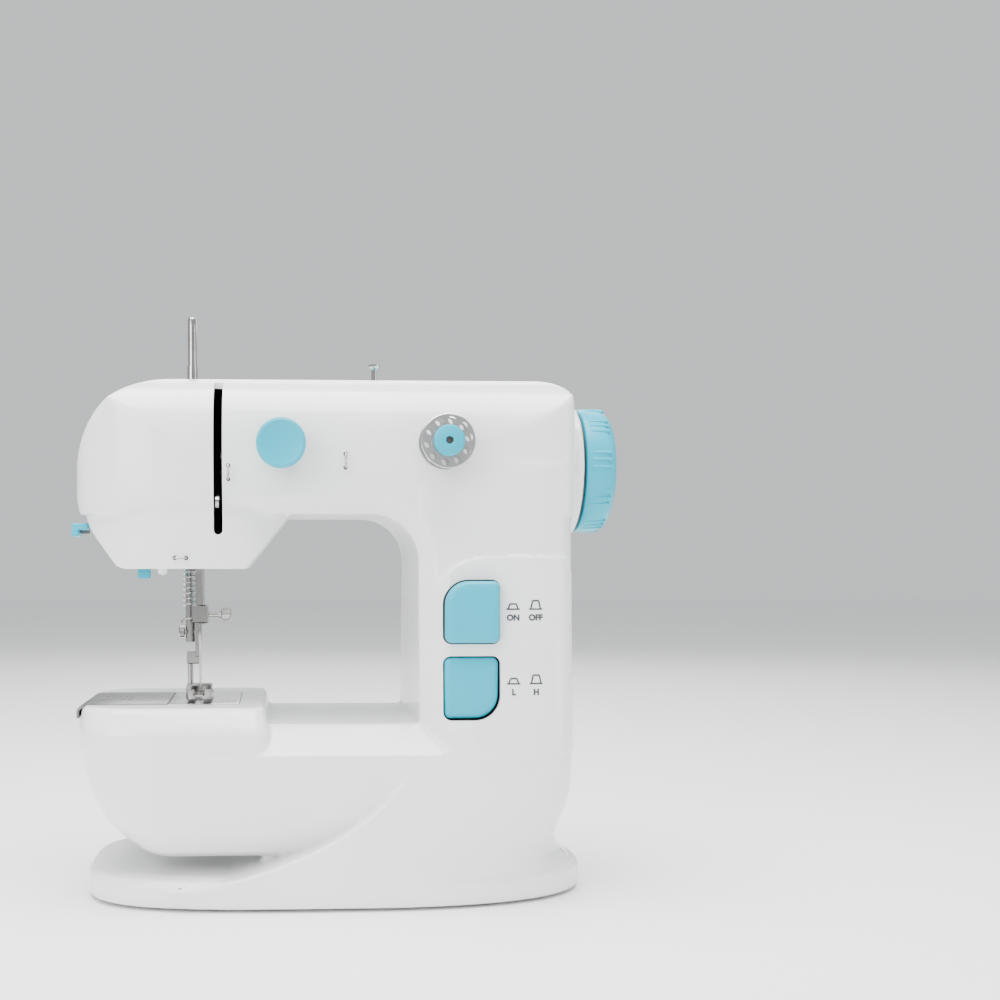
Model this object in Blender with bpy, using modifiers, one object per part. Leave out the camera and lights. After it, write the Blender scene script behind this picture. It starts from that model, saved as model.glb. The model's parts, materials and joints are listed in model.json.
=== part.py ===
"""A small two-speed sewing machine, modelled as an assembly.

The C-shaped housing is two plastic half shells that meet on the plane y = 0. The needle side is
at -X, the handwheel at +X, and the user sits at -Y. The origin is on the ground under the middle
of the whole machine.
"""
import math

import bmesh
import bpy
from mathutils import Matrix, Vector

MM = 0.001

# Driving dimensions, in millimetres.
NEEDLE_X = -58.8            # needle line, from the middle of the machine
NEEDLE_Y = -10.0
THROAT_REACH = 85.8         # needle line to the column's inner wall
COLUMN_WIDTH = 61.4
HEAD_REACH = 49.5           # needle line to the nose of the head
HEAD_DROP = 21.2            # how far the head hangs under the arm
ARM_HEIGHT = 54.8
ARM_HALF_DEPTH = 40.0
THROAT_HEIGHT = 80.9
PLATFORM_TOP = 70.3
BED_STEP = 6.7              # bed block over the platform
BED_HALF_DEPTH = 52.0
BED_RIGHT = 28.2            # needle line to the bed block's right end
BASE_HALF_DEPTH = 53.0
BASE_RIM = 11.5
BASE_MIDDLE_X = -4.3
BASE_HALF_LENGTH = 99.8
SLIT = 6.0                  # gap between the free arm and the base
FOOT_LIFT = 1.0             # rubber feet stand proud of the base
WALL = 2.2
GAP = 0.3                   # clearance between pieces that touch
SHAFT_RADIUS = 3.0
SHAFT_OVER_ARM = 19.1       # main shaft axis over the arm's underside
HOOK_BELOW_BED = 22.0       # hook axis under the bed block's top
NEEDLE_STROKE = 24.0
WHEEL_RADIUS = 25.2
WHEEL_WIDTH = 15.6
BOSS_LENGTH = 3.6
BUTTON_SIZE = 20.6
BUTTON_HEIGHT = 23.4
BUTTON_PITCH = 29.0
BUTTON_PROUD = 3.2
PLATE_THICKNESS = 1.2
FEED_TRAVEL = 1.5           # each way along Y
BELT_THICKNESS = 1.2

# Places worked out from the driving dimensions.
THROAT_WALL = NEEDLE_X + THROAT_REACH
COLUMN_RIGHT = THROAT_WALL + COLUMN_WIDTH
HEAD_LEFT = NEEDLE_X - HEAD_REACH
ARM_UNDER = PLATFORM_TOP + THROAT_HEIGHT
ARM_TOP = ARM_UNDER + ARM_HEIGHT
HEAD_BOTTOM = ARM_UNDER - HEAD_DROP
BED_TOP = PLATFORM_TOP + BED_STEP
BED_END = NEEDLE_X + BED_RIGHT
BED_LEFT = HEAD_LEFT + 3.8
BOWL_BOTTOM = BASE_RIM + SLIT
SHAFT_Z = ARM_UNDER + SHAFT_OVER_ARM
HOOK_Z = BED_TOP - HOOK_BELOW_BED
WHEEL_LEFT = COLUMN_RIGHT + BOSS_LENGTH + 0.7

TEAL = ("teal_plastic", (0.10, 0.57, 0.70), 0.35, 0.0)
WHITE = ("white_plastic", (0.88, 0.89, 0.90), 0.25, 0.0)
DARK = ("black_plastic", (0.03, 0.03, 0.03), 0.5, 0.0)
STEEL = ("bright_steel", (0.62, 0.62, 0.64), 0.2, 1.0)
PLATE = ("brushed_plate", (0.40, 0.41, 0.43), 0.35, 1.0)
RUBBER = ("grey_rubber", (0.10, 0.10, 0.11), 0.8, 0.0)
NYLON = ("nylon", (0.75, 0.74, 0.70), 0.45, 0.0)
BRASS = ("brass", (0.66, 0.50, 0.22), 0.3, 1.0)
BOARD = ("circuit_board", (0.05, 0.22, 0.10), 0.5, 0.0)
LENS = ("lamp_lens", (0.85, 0.88, 0.90), 0.1, 0.0)

COLLECTION = "sewing_machine"


for leftover in list(bpy.data.objects):
    bpy.data.objects.remove(leftover, do_unlink=True)


def collection():
    found = bpy.data.collections.get(COLLECTION)
    if found is None:
        found = bpy.data.collections.new(COLLECTION)
        bpy.context.scene.collection.children.link(found)
    return found


def material(finish):
    name, colour, roughness, metallic = finish
    found = bpy.data.materials.get(name)
    if found is None:
        found = bpy.data.materials.new(name)
        found.use_nodes = True
        shader = found.node_tree.nodes["Principled BSDF"]
        shader.inputs["Base Color"].default_value = (*colour, 1.0)
        shader.inputs["Roughness"].default_value = roughness
        shader.inputs["Metallic"].default_value = metallic
        found.diffuse_color = (*colour, 1.0)
    return found


def add_object(name, mesh):
    made = bpy.data.objects.new(name, mesh)
    collection().objects.link(made)
    return made


def finish_piece(piece, name, finish, origin=None):
    """Name a piece, give it its material and put its origin where its joint is."""
    piece.name = name
    piece.data.name = name
    piece.data.materials.clear()
    piece.data.materials.append(material(finish))
    if origin is not None:
        point = Vector(origin) * MM
        piece.data.transform(Matrix.Translation(-point))
        piece.location = point
    piece.data.shade_smooth()
    piece.data.set_sharp_from_angle(angle=math.radians(35))
    return piece


def evaluated_mesh(thing):
    bpy.context.view_layer.update()
    graph = bpy.context.evaluated_depsgraph_get()
    return bpy.data.meshes.new_from_object(thing.evaluated_get(graph))


def settle(thing):
    """Apply a mesh object's modifiers."""
    mesh = evaluated_mesh(thing)
    thing.modifiers.clear()
    thing.data = mesh
    return thing


def combine(thing, other, operation):
    """Boolean one object with another, which is removed."""
    tool = thing.modifiers.new("cut", "BOOLEAN")
    tool.operation = operation
    tool.solver = "EXACT"
    tool.object = other
    settle(thing)
    bpy.data.objects.remove(other, do_unlink=True)
    return thing


def cut(thing, *others):
    for other in others:
        combine(thing, other, "DIFFERENCE")
    return thing


def join(thing, *others):
    for other in others:
        combine(thing, other, "UNION")
    return thing


def box(low, high, bevel=0.0, segments=2):
    shape = bmesh.new()
    bmesh.ops.create_cube(shape, size=1.0)
    size = [(b - a) * MM for a, b in zip(low, high)]
    middle = Vector([(a + b) / 2 * MM for a, b in zip(low, high)])
    bmesh.ops.scale(shape, vec=size, verts=shape.verts)
    bmesh.ops.translate(shape, vec=middle, verts=shape.verts)
    if bevel:
        bmesh.ops.bevel(shape, geom=shape.edges, offset=bevel * MM, segments=segments,
                        affect="EDGES", profile=0.5, clamp_overlap=True)
    return from_bmesh(shape)


def from_bmesh(shape):
    mesh = bpy.data.meshes.new("piece")
    bmesh.ops.recalc_face_normals(shape, faces=shape.faces)
    shape.to_mesh(mesh)
    shape.free()
    return add_object("piece", mesh)


def turn_to(direction):
    return Vector((0, 0, 1)).rotation_difference(Vector(direction).normalized()).to_matrix().to_4x4()


def rod(start, end, radius, end_radius=None, sides=16):
    """A round bar, or a cone, between two points."""
    a = Vector(start) * MM
    b = Vector(end) * MM
    shape = bmesh.new()
    last = radius if end_radius is None else end_radius
    bmesh.ops.create_cone(shape, cap_ends=True, cap_tris=False, segments=sides,
                          radius1=radius * MM, radius2=last * MM, depth=(b - a).length)
    shape.transform(Matrix.Translation((a + b) / 2) @ turn_to(b - a))
    return from_bmesh(shape)


def ring(start, end, outer, inner, sides=24):
    along = (Vector(end) - Vector(start)).normalized()
    bore = rod(Vector(start) - along, Vector(end) + along, inner, sides=sides)
    return cut(rod(start, end, outer, sides=sides), bore)


def turned(profile, base, direction, steps=24):
    """A lathe-turned solid: (radius, height) pairs from the top down, along a direction."""
    shape = bmesh.new()
    verts = [shape.verts.new((r * MM, 0, h * MM)) for r, h in profile]
    for a, b in zip(verts, verts[1:]):
        shape.edges.new((a, b))
    if profile[0][0] > 0:
        shape.edges.new((verts[-1], verts[0]))
    mesh = bpy.data.meshes.new("piece")
    shape.to_mesh(mesh)
    shape.free()
    piece = add_object("piece", mesh)
    screw = piece.modifiers.new("turn", "SCREW")
    screw.axis = "Z"
    screw.steps = steps
    screw.render_steps = steps
    screw.use_merge_vertices = True
    screw.merge_threshold = 0.00001
    settle(piece)
    piece.data.transform(Matrix.Translation(Vector(base) * MM) @ turn_to(direction))
    return piece


def slab(outline, near, far, plane):
    """A flat outline made solid. plane is XZ (thick along Y), YZ (along X) or XY (along Z)."""
    curve = bpy.data.curves.new("outline", "CURVE")
    curve.dimensions = "2D"
    curve.fill_mode = "BOTH"
    curve.extrude = abs(far - near) / 2 * MM
    spline = curve.splines.new("POLY")
    spline.points.add(len(outline) - 1)
    for point, (u, v) in zip(spline.points, outline):
        point.co = (u * MM, v * MM, 0, 1)
    spline.use_cyclic_u = True
    flat = add_object("outline", curve)
    mesh = evaluated_mesh(flat)
    bpy.data.objects.remove(flat, do_unlink=True)
    middle = (near + far) / 2 * MM
    if plane == "XZ":
        place = Matrix(((1, 0, 0, 0), (0, 0, 1, middle), (0, 1, 0, 0), (0, 0, 0, 1)))
    elif plane == "YZ":
        place = Matrix(((0, 0, 1, middle), (1, 0, 0, 0), (0, 1, 0, 0), (0, 0, 0, 1)))
    else:
        place = Matrix.Translation((0, 0, middle))
    mesh.transform(place)
    return weld(add_object("piece", mesh))


def weld(piece):
    shape = bmesh.new()
    shape.from_mesh(piece.data)
    bmesh.ops.remove_doubles(shape, verts=shape.verts, dist=0.000001)
    bmesh.ops.recalc_face_normals(shape, faces=shape.faces)
    shape.to_mesh(piece.data)
    shape.free()
    return piece


def wire(points, radius, resolution=2):
    """A bent wire through points, as a closed mesh."""
    curve = bpy.data.curves.new("wire", "CURVE")
    curve.dimensions = "3D"
    curve.bevel_depth = radius * MM
    curve.bevel_resolution = resolution
    curve.use_fill_caps = True
    spline = curve.splines.new("POLY")
    spline.points.add(len(points) - 1)
    for point, place in zip(spline.points, points):
        point.co = (*[v * MM for v in place], 1)
    line = add_object("wire", curve)
    mesh = evaluated_mesh(line)
    bpy.data.objects.remove(line, do_unlink=True)
    return weld(add_object("piece", mesh))


def arc(cx, cy, radius, start, end, count):
    """Points on a circle from one angle to another, in degrees."""
    found = []
    for i in range(count + 1):
        angle = math.radians(start + (end - start) * i / count)
        found.append((cx + radius * math.cos(angle), cy + radius * math.sin(angle)))
    return found


def bezier(points, count):
    """Points along a cubic curve."""
    found = []
    for i in range(count + 1):
        t = i / count
        w = ((1 - t) ** 3, 3 * t * (1 - t) ** 2, 3 * t * t * (1 - t), t ** 3)
        found.append(tuple(sum(k * p[axis] for k, p in zip(w, points)) for axis in (0, 1)))
    return found


def rounded_rectangle(x0, y0, x1, y1, radii, count=4):
    """Corner radii run from the lower left, counter-clockwise."""
    a, b, c, d = radii
    return (arc(x0 + a, y0 + a, a, 180, 270, count) + arc(x1 - b, y0 + b, b, 270, 360, count)
            + arc(x1 - c, y1 - c, c, 0, 90, count) + arc(x0 + d, y1 - d, d, 90, 180, count))


def plan_ring(left, right, half_depth, left_power, right_power, middle, count=6):
    """Half of a superellipse plan: front edge points from the left end to the right end."""
    found = []
    for i in range(count + 1):
        angle = math.radians(90 * i / count)
        u = math.cos(angle) ** (2 / left_power)
        v = math.sin(angle) ** (2 / left_power)
        found.append((middle - (middle - left) * u, -half_depth * v))
    for i in range(1, count + 1):
        angle = math.radians(90 - 90 * i / count)
        u = max(math.cos(angle), 0.0) ** (2 / right_power)
        v = max(math.sin(angle), 0.0) ** (2 / right_power)
        found.append((middle + (right - middle) * u, -half_depth * v))
    return found


def loft(levels):
    """A closed solid through front-edge rings mirrored to the back; levels are (z, points)."""
    shape = bmesh.new()
    rings = []
    for z, front in levels:
        back = [(x, -y) for x, y in reversed(front[1:-1])]
        rings.append([shape.verts.new((x * MM, y * MM, z * MM)) for x, y in front + back])
    for low, high in zip(rings, rings[1:]):
        for i in range(len(low)):
            j = (i + 1) % len(low)
            shape.faces.new((low[i], low[j], high[j], high[i]))
    shape.faces.new(list(reversed(rings[0])))
    shape.faces.new(rings[-1])
    return from_bmesh(shape)


def skirt_left(z, inset):
    """The swept edge where the column and base wrap round the free arm."""
    crease = bezier([(THROAT_WALL, PLATFORM_TOP - 4), (THROAT_WALL - 9, 30),
                     (THROAT_WALL - 57, 12), (THROAT_WALL - 97, BASE_RIM)], 24)
    for (x1, z1), (x0, z0) in zip(crease, crease[1:]):
        if z0 <= z <= z1:
            return x0 + (x1 - x0) * (z - z0) / (z1 - z0) + inset
    return (THROAT_WALL if z > PLATFORM_TOP - 5 else THROAT_WALL - 97) + inset


def column_body(inset, floor):
    """Base, skirt and column as one stack of plan rings."""
    base_left = BASE_MIDDLE_X - BASE_HALF_LENGTH + inset
    base_right = BASE_MIDDLE_X + BASE_HALF_LENGTH - inset
    depth = BASE_HALF_DEPTH - inset
    rim = BASE_RIM - inset
    levels = []
    edge = 0.0 if inset else 1.0
    for z, shrink in ((floor, edge), (rim - 3.0, 0.0), (rim, 1.6)):
        levels.append((z, plan_ring(base_left + shrink, base_right - shrink * 0.6, depth - shrink,
                                    3.6, 2.5, BASE_MIDDLE_X)))
    right = COLUMN_RIGHT - inset
    waist = right - 4.0
    foot, shoulder = BASE_MIDDLE_X, THROAT_WALL + 8
    rows = [(rim + 0.4, base_right - 2.5, depth - 1.0, foot, 2.6),
            (rim + 5, waist + 1.5, depth - 1.4, foot + 8, 2.6),
            (rim + 10, waist, depth - 1.7, foot + 14, 2.8),
            (34.0, right - 1.2, depth - 2.2, foot + 24, 3.4),
            (41.0, right, depth - 2.6, shoulder - 6, 4.0),
            (52.0, right, depth - 3.0, shoulder, 4.6),
            (PLATFORM_TOP - 4, right, depth - 3.6, shoulder, 5.0)]
    for z, right_x, half, middle, power in rows:
        levels.append((z, plan_ring(skirt_left(z, inset), right_x, half, 60, power, middle)))
    ledge = PLATFORM_TOP + 63.7
    for z, half in ((ledge - 3, depth - 6), (ledge, depth - 8), (ARM_UNDER + 12, ARM_HALF_DEPTH - inset)):
        levels.append((z, plan_ring(THROAT_WALL + inset, right, half, 60, 5.0, shoulder)))
    return loft(levels)


def bowl_body(inset):
    """The free arm: a hull that narrows to a flat bottom."""
    rows = [(0.0, 26.0, 19.0), (2.5, 22.3, 13.5), (10.9, 12.6, 8.0), (25.3, 4.8, 2.2),
            (41.8, 0.8, 0.0), (46.0, 0.0, 0.2), (52.8 - inset, 0.6, 6.0)]
    depth = BED_HALF_DEPTH - inset
    levels = []
    for rise, step, narrow in rows:
        z = BOWL_BOTTOM + (inset if rise == 0.0 else 0.0) + rise
        levels.append((z, plan_ring(BED_LEFT + inset + step, THROAT_WALL + 24, depth - narrow,
                                    3.0 + rise / 52, 60, BED_LEFT + 42)))
    return loft(levels)


def bed_body(inset):
    """The raised block that carries the plates."""
    depth = BED_HALF_DEPTH - inset
    middle = BED_LEFT + 42
    top = BED_TOP - inset
    rows = [(BOWL_BOTTOM + 43, 0.0, 0.4, 0.0), (top - 10, 0.0, 2.4, 0.0), (top - 1.5, 0.8, 6.0, 1.8),
            (top, 2.0, 7.4, 2.6)]
    return loft([(z, plan_ring(BED_LEFT + inset + step, BED_END - inset - slope, depth - narrow,
                               4.0, 14, middle)) for z, step, narrow, slope in rows])


def arm_body(inset):
    """Arm and nose: side view, end view and plan view outlines crossed."""
    left, top, under = HEAD_LEFT + inset, ARM_TOP - inset, ARM_UNDER + inset
    right = COLUMN_RIGHT - inset
    nose = bezier([(left + 0.5, under + 7), (left - 1.8, top - 25), (left + 11, top - 1), (left + 40, top)], 8)
    shoulder = bezier([(right - 22, top), (right - 9, top), (right - 1, top - 6), (right, top - 17)], 5)
    side = nose + shoulder + [(right, under), (left + 4.4, under)]
    depth = ARM_HALF_DEPTH - inset
    front = [(-depth + 6, under), (-depth + 0.4, under + 5.6), (-depth, top - 30)]
    front += bezier([(-depth + 0.8, top - 17), (-depth + 3, top - 6), (-depth + 13, top), (-8, top)], 6)
    end = front + [(-y, z) for y, z in reversed(front)]
    body = slab(side, -60, 60, "XZ")
    combine(body, slab(end, left - 20, right + 20, "YZ"), "INTERSECT")
    plan = plan_ring(left, right, depth, 2.9, 12, left + 48)
    plan += [(x, -y) for x, y in reversed(plan[1:-1])]
    combine(body, slab(plan, under - 20, top + 20, "XY"), "INTERSECT")
    return body


def head_body(inset):
    """The lower head, set back a little from the arm and hanging under it."""
    left, under, drop = HEAD_LEFT + inset, ARM_UNDER, HEAD_BOTTOM + inset
    right = NEEDLE_X + 36.2 - inset
    side = [(right - 17, drop), (right, under), (right, under + 8), (left + 6, under + 8),
            (left + 4.7, under + 2.2), (left + 7.7, under - 6.5), (left + 19, drop + 1.0),
            (left + 21.7, drop)]
    depth = ARM_HALF_DEPTH - 2.0 - inset
    body = slab(side, -60, 60, "XZ")
    plan = plan_ring(left + 4, right, depth, 2.9, 6, left + 46)
    plan += [(x, -y) for x, y in reversed(plan[1:-1])]
    return combine(body, slab(plan, drop - 20, under + 20, "XY"), "INTERSECT")


def housing(inset, floor):
    body = column_body(inset, floor)
    join(body, bowl_body(inset), bed_body(inset), arm_body(inset), head_body(inset))
    if inset:
        link = box((THROAT_WALL - 30, -BED_HALF_DEPTH + 8, BOWL_BOTTOM + 14),
                   (THROAT_WALL + 30, BED_HALF_DEPTH - 8, PLATFORM_TOP - inset - 0.4))
        join(body, link)
    return body


# Features that pass through the housing share their places with the pieces that fill them.
SLOT_X = NEEDLE_X + 8.6
SLOT_WIDTH = 3.2
LEVER_THICKNESS = 1.4
PRESSER_X = NEEDLE_X - 4.6
BAR_RADIUS = 1.9
KNOB = (NEEDLE_X + 32.6, ARM_UNDER + 25.6)
KNOB_RADIUS = 9.3
WINDER = (THROAT_WALL + 9.2, ARM_UNDER + 26.5)
BOBBIN_RADIUS = 10.25
CAP_REACH = 17.4            # winder cap in front of the arm's face
SPOOL_PIN = (NEEDLE_X - 3.8, 12.0)
SPOOL_PIN_RADIUS = 2.2
TOP_GUIDE = (THROAT_WALL - 14.0, 10.0)
BUTTON_X = THROAT_WALL + 8.8
BUTTON_LOW = {"speed": PLATFORM_TOP + 2.7}
BUTTON_LOW["power"] = BUTTON_LOW["speed"] + BUTTON_PITCH
PANEL_Y = -(BASE_HALF_DEPTH - 3.8)
ARM_WALL = ARM_HALF_DEPTH - WALL + 0.6
CASE_SCREWS = [(HEAD_LEFT + 24, ARM_UNDER + 27, ARM_WALL - 0.6), (THROAT_WALL - 16, ARM_TOP - 15, ARM_WALL),
               (COLUMN_RIGHT - 33, ARM_UNDER - 22, ARM_WALL + 6),
               (THROAT_WALL - 42, BOWL_BOTTOM + 22, BED_HALF_DEPTH - WALL + 0.6)]
LIGHT_SWITCH = (HEAD_LEFT + 26.9, -6.0)
LAMP = (HEAD_LEFT + 34.9, -14.0)
CUTTER_Z = ARM_UNDER - 5.9
LIFTER = (PRESSER_X - 9.0, HEAD_BOTTOM + 11.0)
HOOK_RADIUS = 15.0
RIBS = [("upper", NEEDLE_X + 28, 0.0, SHAFT_Z, ARM_WALL),
        ("upper", COLUMN_RIGHT - WALL - 4.2, 0.0, SHAFT_Z, ARM_WALL),
        ("lower", NEEDLE_X + 22, NEEDLE_Y, HOOK_Z, BED_HALF_DEPTH - 1.4),
        ("lower", THROAT_WALL + 14, NEEDLE_Y, HOOK_Z, BASE_HALF_DEPTH - 4.6)]
BUSH_RADIUS = 5.0
RIB_THICKNESS = 3.0
MOTOR = (THROAT_WALL + 11, 22.0, BUTTON_LOW["power"] + 4)
MOTOR_RADIUS = 12.2
FEET = [(BASE_MIDDLE_X + sx * (BASE_HALF_LENGTH - 36), sy * (BASE_HALF_DEPTH - 20))
        for sx in (-1, 1) for sy in (-1, 1)]
FOOT_RADIUS = 6.0
BATTERY_BOX = (THROAT_WALL - 16, -30.0, THROAT_WALL + 40, 30.0)
DOOR_SIZE = (50.0, 50.0)
JACKS = [COLUMN_RIGHT - 38, COLUMN_RIGHT - 25]
JACK_Z = PLATFORM_TOP - 20
PLATE_LEFT = BED_LEFT + 4.2
LIP_DROP = 4.0
PLATE_JOIN = NEEDLE_X - 12.0
PLATE_RIGHT = NEEDLE_X + 16.0
PLATE_FRONT, PLATE_BACK = -29.5, 22.0


def button_outline(which, grow):
    """A rounded square with one big corner: power at the upper left, speed at the lower right."""
    x, z = BUTTON_X - grow, BUTTON_LOW[which] - grow
    small, large = 2.5 + grow, 9.0 + grow
    radii = (small, small, small, large) if which == "power" else (small, large, small, small)
    return rounded_rectangle(x, z, x + BUTTON_SIZE + 2 * grow, z + BUTTON_HEIGHT + 2 * grow, radii)


def outlet_cutters():
    """Everything that opens the housing's walls, beside the inner hollow."""
    slot = rounded_rectangle(SLOT_X - SLOT_WIDTH / 2, ARM_UNDER - 8, SLOT_X + SLOT_WIDTH / 2,
                             ARM_TOP + 5, (1.2, 1.2, 0.4, 0.4), 3)
    yield slab(slot, -ARM_HALF_DEPTH - 10, -ARM_HALF_DEPTH + 18, "XZ")
    for which in ("power", "speed"):
        yield slab(button_outline(which, 0.5), -BASE_HALF_DEPTH - 5, -BASE_HALF_DEPTH + 16, "XZ")
    yield rod((KNOB[0], -60, KNOB[1]), (KNOB[0], -20, KNOB[1]), 2.5 + GAP)
    yield rod((WINDER[0], -60, WINDER[1]), (WINDER[0], -20, WINDER[1]), 3.2 + GAP)
    yield rod((*SPOOL_PIN, ARM_TOP - 15), (*SPOOL_PIN, ARM_TOP + 10), SPOOL_PIN_RADIUS + GAP)
    yield rod((*TOP_GUIDE, ARM_TOP - 15), (*TOP_GUIDE, ARM_TOP + 10), 1.5 + GAP)
    for x, y in ((NEEDLE_X, NEEDLE_Y), (PRESSER_X, 0.0)):
        yield rod((x, y, HEAD_BOTTOM - 5), (x, y, HEAD_BOTTOM + 6), 3.2 + GAP, sides=20)
    x, y = LIGHT_SWITCH
    yield box((x - 5, y - 2.5, HEAD_BOTTOM - 5), (x + 5, y + 2.5, HEAD_BOTTOM + 6))
    yield rod((*LAMP, HEAD_BOTTOM - 5), (*LAMP, HEAD_BOTTOM + 6), 2.0 + GAP)
    yield rod((LIFTER[0], 20, LIFTER[1]), (LIFTER[0], 60, LIFTER[1]), 2.5 + GAP)
    for x in JACKS:
        yield rod((x, 30, JACK_Z), (x, 60, JACK_Z), 4.0 + GAP)
    yield rod((COLUMN_RIGHT - 12, 0, SHAFT_Z), (COLUMN_RIGHT + 12, 0, SHAFT_Z), SHAFT_RADIUS + GAP)
    yield box((PLATE_LEFT - 10, PLATE_FRONT - GAP, BED_TOP - PLATE_THICKNESS - GAP),
              (PLATE_RIGHT + GAP, PLATE_BACK + GAP, BED_TOP + 5))
    yield box((PLATE_LEFT + 4, PLATE_FRONT + 3, BED_TOP - 12),
              (PLATE_RIGHT - 3, PLATE_BACK - 3, BED_TOP + 5))


def shells():
    """Front and rear half shells, hollow, with screw posts, bearing ribs and every opening."""
    body = housing(0.0, FOOT_LIFT)
    boss = rod((COLUMN_RIGHT - 5, 0, SHAFT_Z), (COLUMN_RIGHT + BOSS_LENGTH, 0, SHAFT_Z),
               WHEEL_RADIUS + 1.4, WHEEL_RADIUS + 0.6, sides=36)
    join(body, boss)
    cut(body, housing(WALL, -5.0))
    cut(body, *outlet_cutters())
    halves = []
    for side in (-1, 1):
        half = body.copy()
        half.data = body.data.copy()
        collection().objects.link(half)
        near, far = sorted((side * GAP / 2, side * 80))
        combine(half, box((-200, near, -10), (200, far, ARM_TOP + 40)), "INTERSECT")
        halves.append(half)
    bpy.data.objects.remove(body, do_unlink=True)
    front, rear = halves
    for x, z, depth in CASE_SCREWS:
        join(front, rod((x, -depth, z), (x, -GAP / 2, z), 3.6, sides=12))
        cut(front, rod((x, -12, z), (x, 5, z), 1.5 + GAP, sides=12))
        join(rear, rod((x, GAP / 2, z), (x, depth, z), 4.4, sides=12))
        cut(rear, rod((x, -5, z), (x, 60, z), 1.5 + GAP, sides=12),
            rod((x, depth - 10, z), (x, 60, z), 3.0 + GAP, sides=12))
    for level, x, y, z, reach in RIBS:
        saddle = box((x - RIB_THICKNESS / 2, GAP / 2 if level == "upper" else y - 8, z - 9),
                     (x + RIB_THICKNESS / 2, reach, z + 9))
        if level == "upper":
            join(saddle, box((x - RIB_THICKNESS / 2, y - 8, z - 8), (x + RIB_THICKNESS / 2, 1, z + 8)))
        join(rear, saddle)
        cut(rear, rod((x - 6, y, z), (x + 6, y, z), BUSH_RADIUS + GAP, sides=20))
    finish_piece(front, "front_shell", WHITE)
    finish_piece(rear, "rear_shell", WHITE)


def base_pieces():
    """Bottom plate with the battery compartment, its door, and four rubber feet."""
    inset = WALL + GAP
    left, right = BASE_MIDDLE_X - BASE_HALF_LENGTH, BASE_MIDDLE_X + BASE_HALF_LENGTH
    outline = plan_ring(left + inset, right - inset, BASE_HALF_DEPTH - inset, 3.6, 2.5, BASE_MIDDLE_X)
    outline += [(x, -y) for x, y in reversed(outline[1:-1])]
    plate = slab(outline, FOOT_LIFT, FOOT_LIFT + 2.0, "XY")
    x0, y0, x1, y1 = BATTERY_BOX
    z0, z1 = FOOT_LIFT + 1.0, FOOT_LIFT + 18.5
    join(plate, box((x0, y0, z0), (x1, y1, z1)))
    middle_x, middle_y = (x0 + x1) / 2, (y0 + y1) / 2
    half_x, half_y = DOOR_SIZE[0] / 2, DOOR_SIZE[1] / 2
    cut(plate, box((middle_x - half_x, middle_y - half_y, -2),
                   (middle_x + half_x, middle_y + half_y, z1 - 1.5)))
    for x, y in FEET:
        cut(plate, rod((x, y, -1), (x, y, FOOT_LIFT + 1.0), FOOT_RADIUS + GAP))
    finish_piece(plate, "base_plate", WHITE)
    door = box((middle_x - half_x + GAP, middle_y - half_y + GAP, FOOT_LIFT),
               (middle_x + half_x - GAP, middle_y + half_y - GAP, FOOT_LIFT + 1.6))
    join(door, box((middle_x - 8, middle_y - half_y + 2, FOOT_LIFT + 1),
                   (middle_x + 8, middle_y - half_y + 4, FOOT_LIFT + 6)))
    finish_piece(door, "battery_door", WHITE, (middle_x, middle_y, FOOT_LIFT))
    for number, (x, y) in enumerate(FEET, start=1):
        foot = turned([(0, FOOT_LIFT + 0.7), (FOOT_RADIUS, FOOT_LIFT + 0.7), (FOOT_RADIUS, 0.4),
                       (FOOT_RADIUS - 0.4, 0), (0, 0)], (x, y, 0), (0, 0, 1), 20)
        finish_piece(foot, f"rubber_foot_{number}", RUBBER)
    for number, (x, z, depth) in enumerate(CASE_SCREWS, start=1):
        head = rod((x, depth - 10 + GAP, z), (x, depth - 7.6, z), 3.0, sides=16)
        join(head, rod((x, -9, z), (x, depth - 9, z), 1.5, sides=12))
        cut(head, box((x - 2.2, depth - 8.6, z - 0.4), (x + 2.2, depth, z + 0.4)))
        finish_piece(head, f"case_screw_{number}", STEEL)


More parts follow.
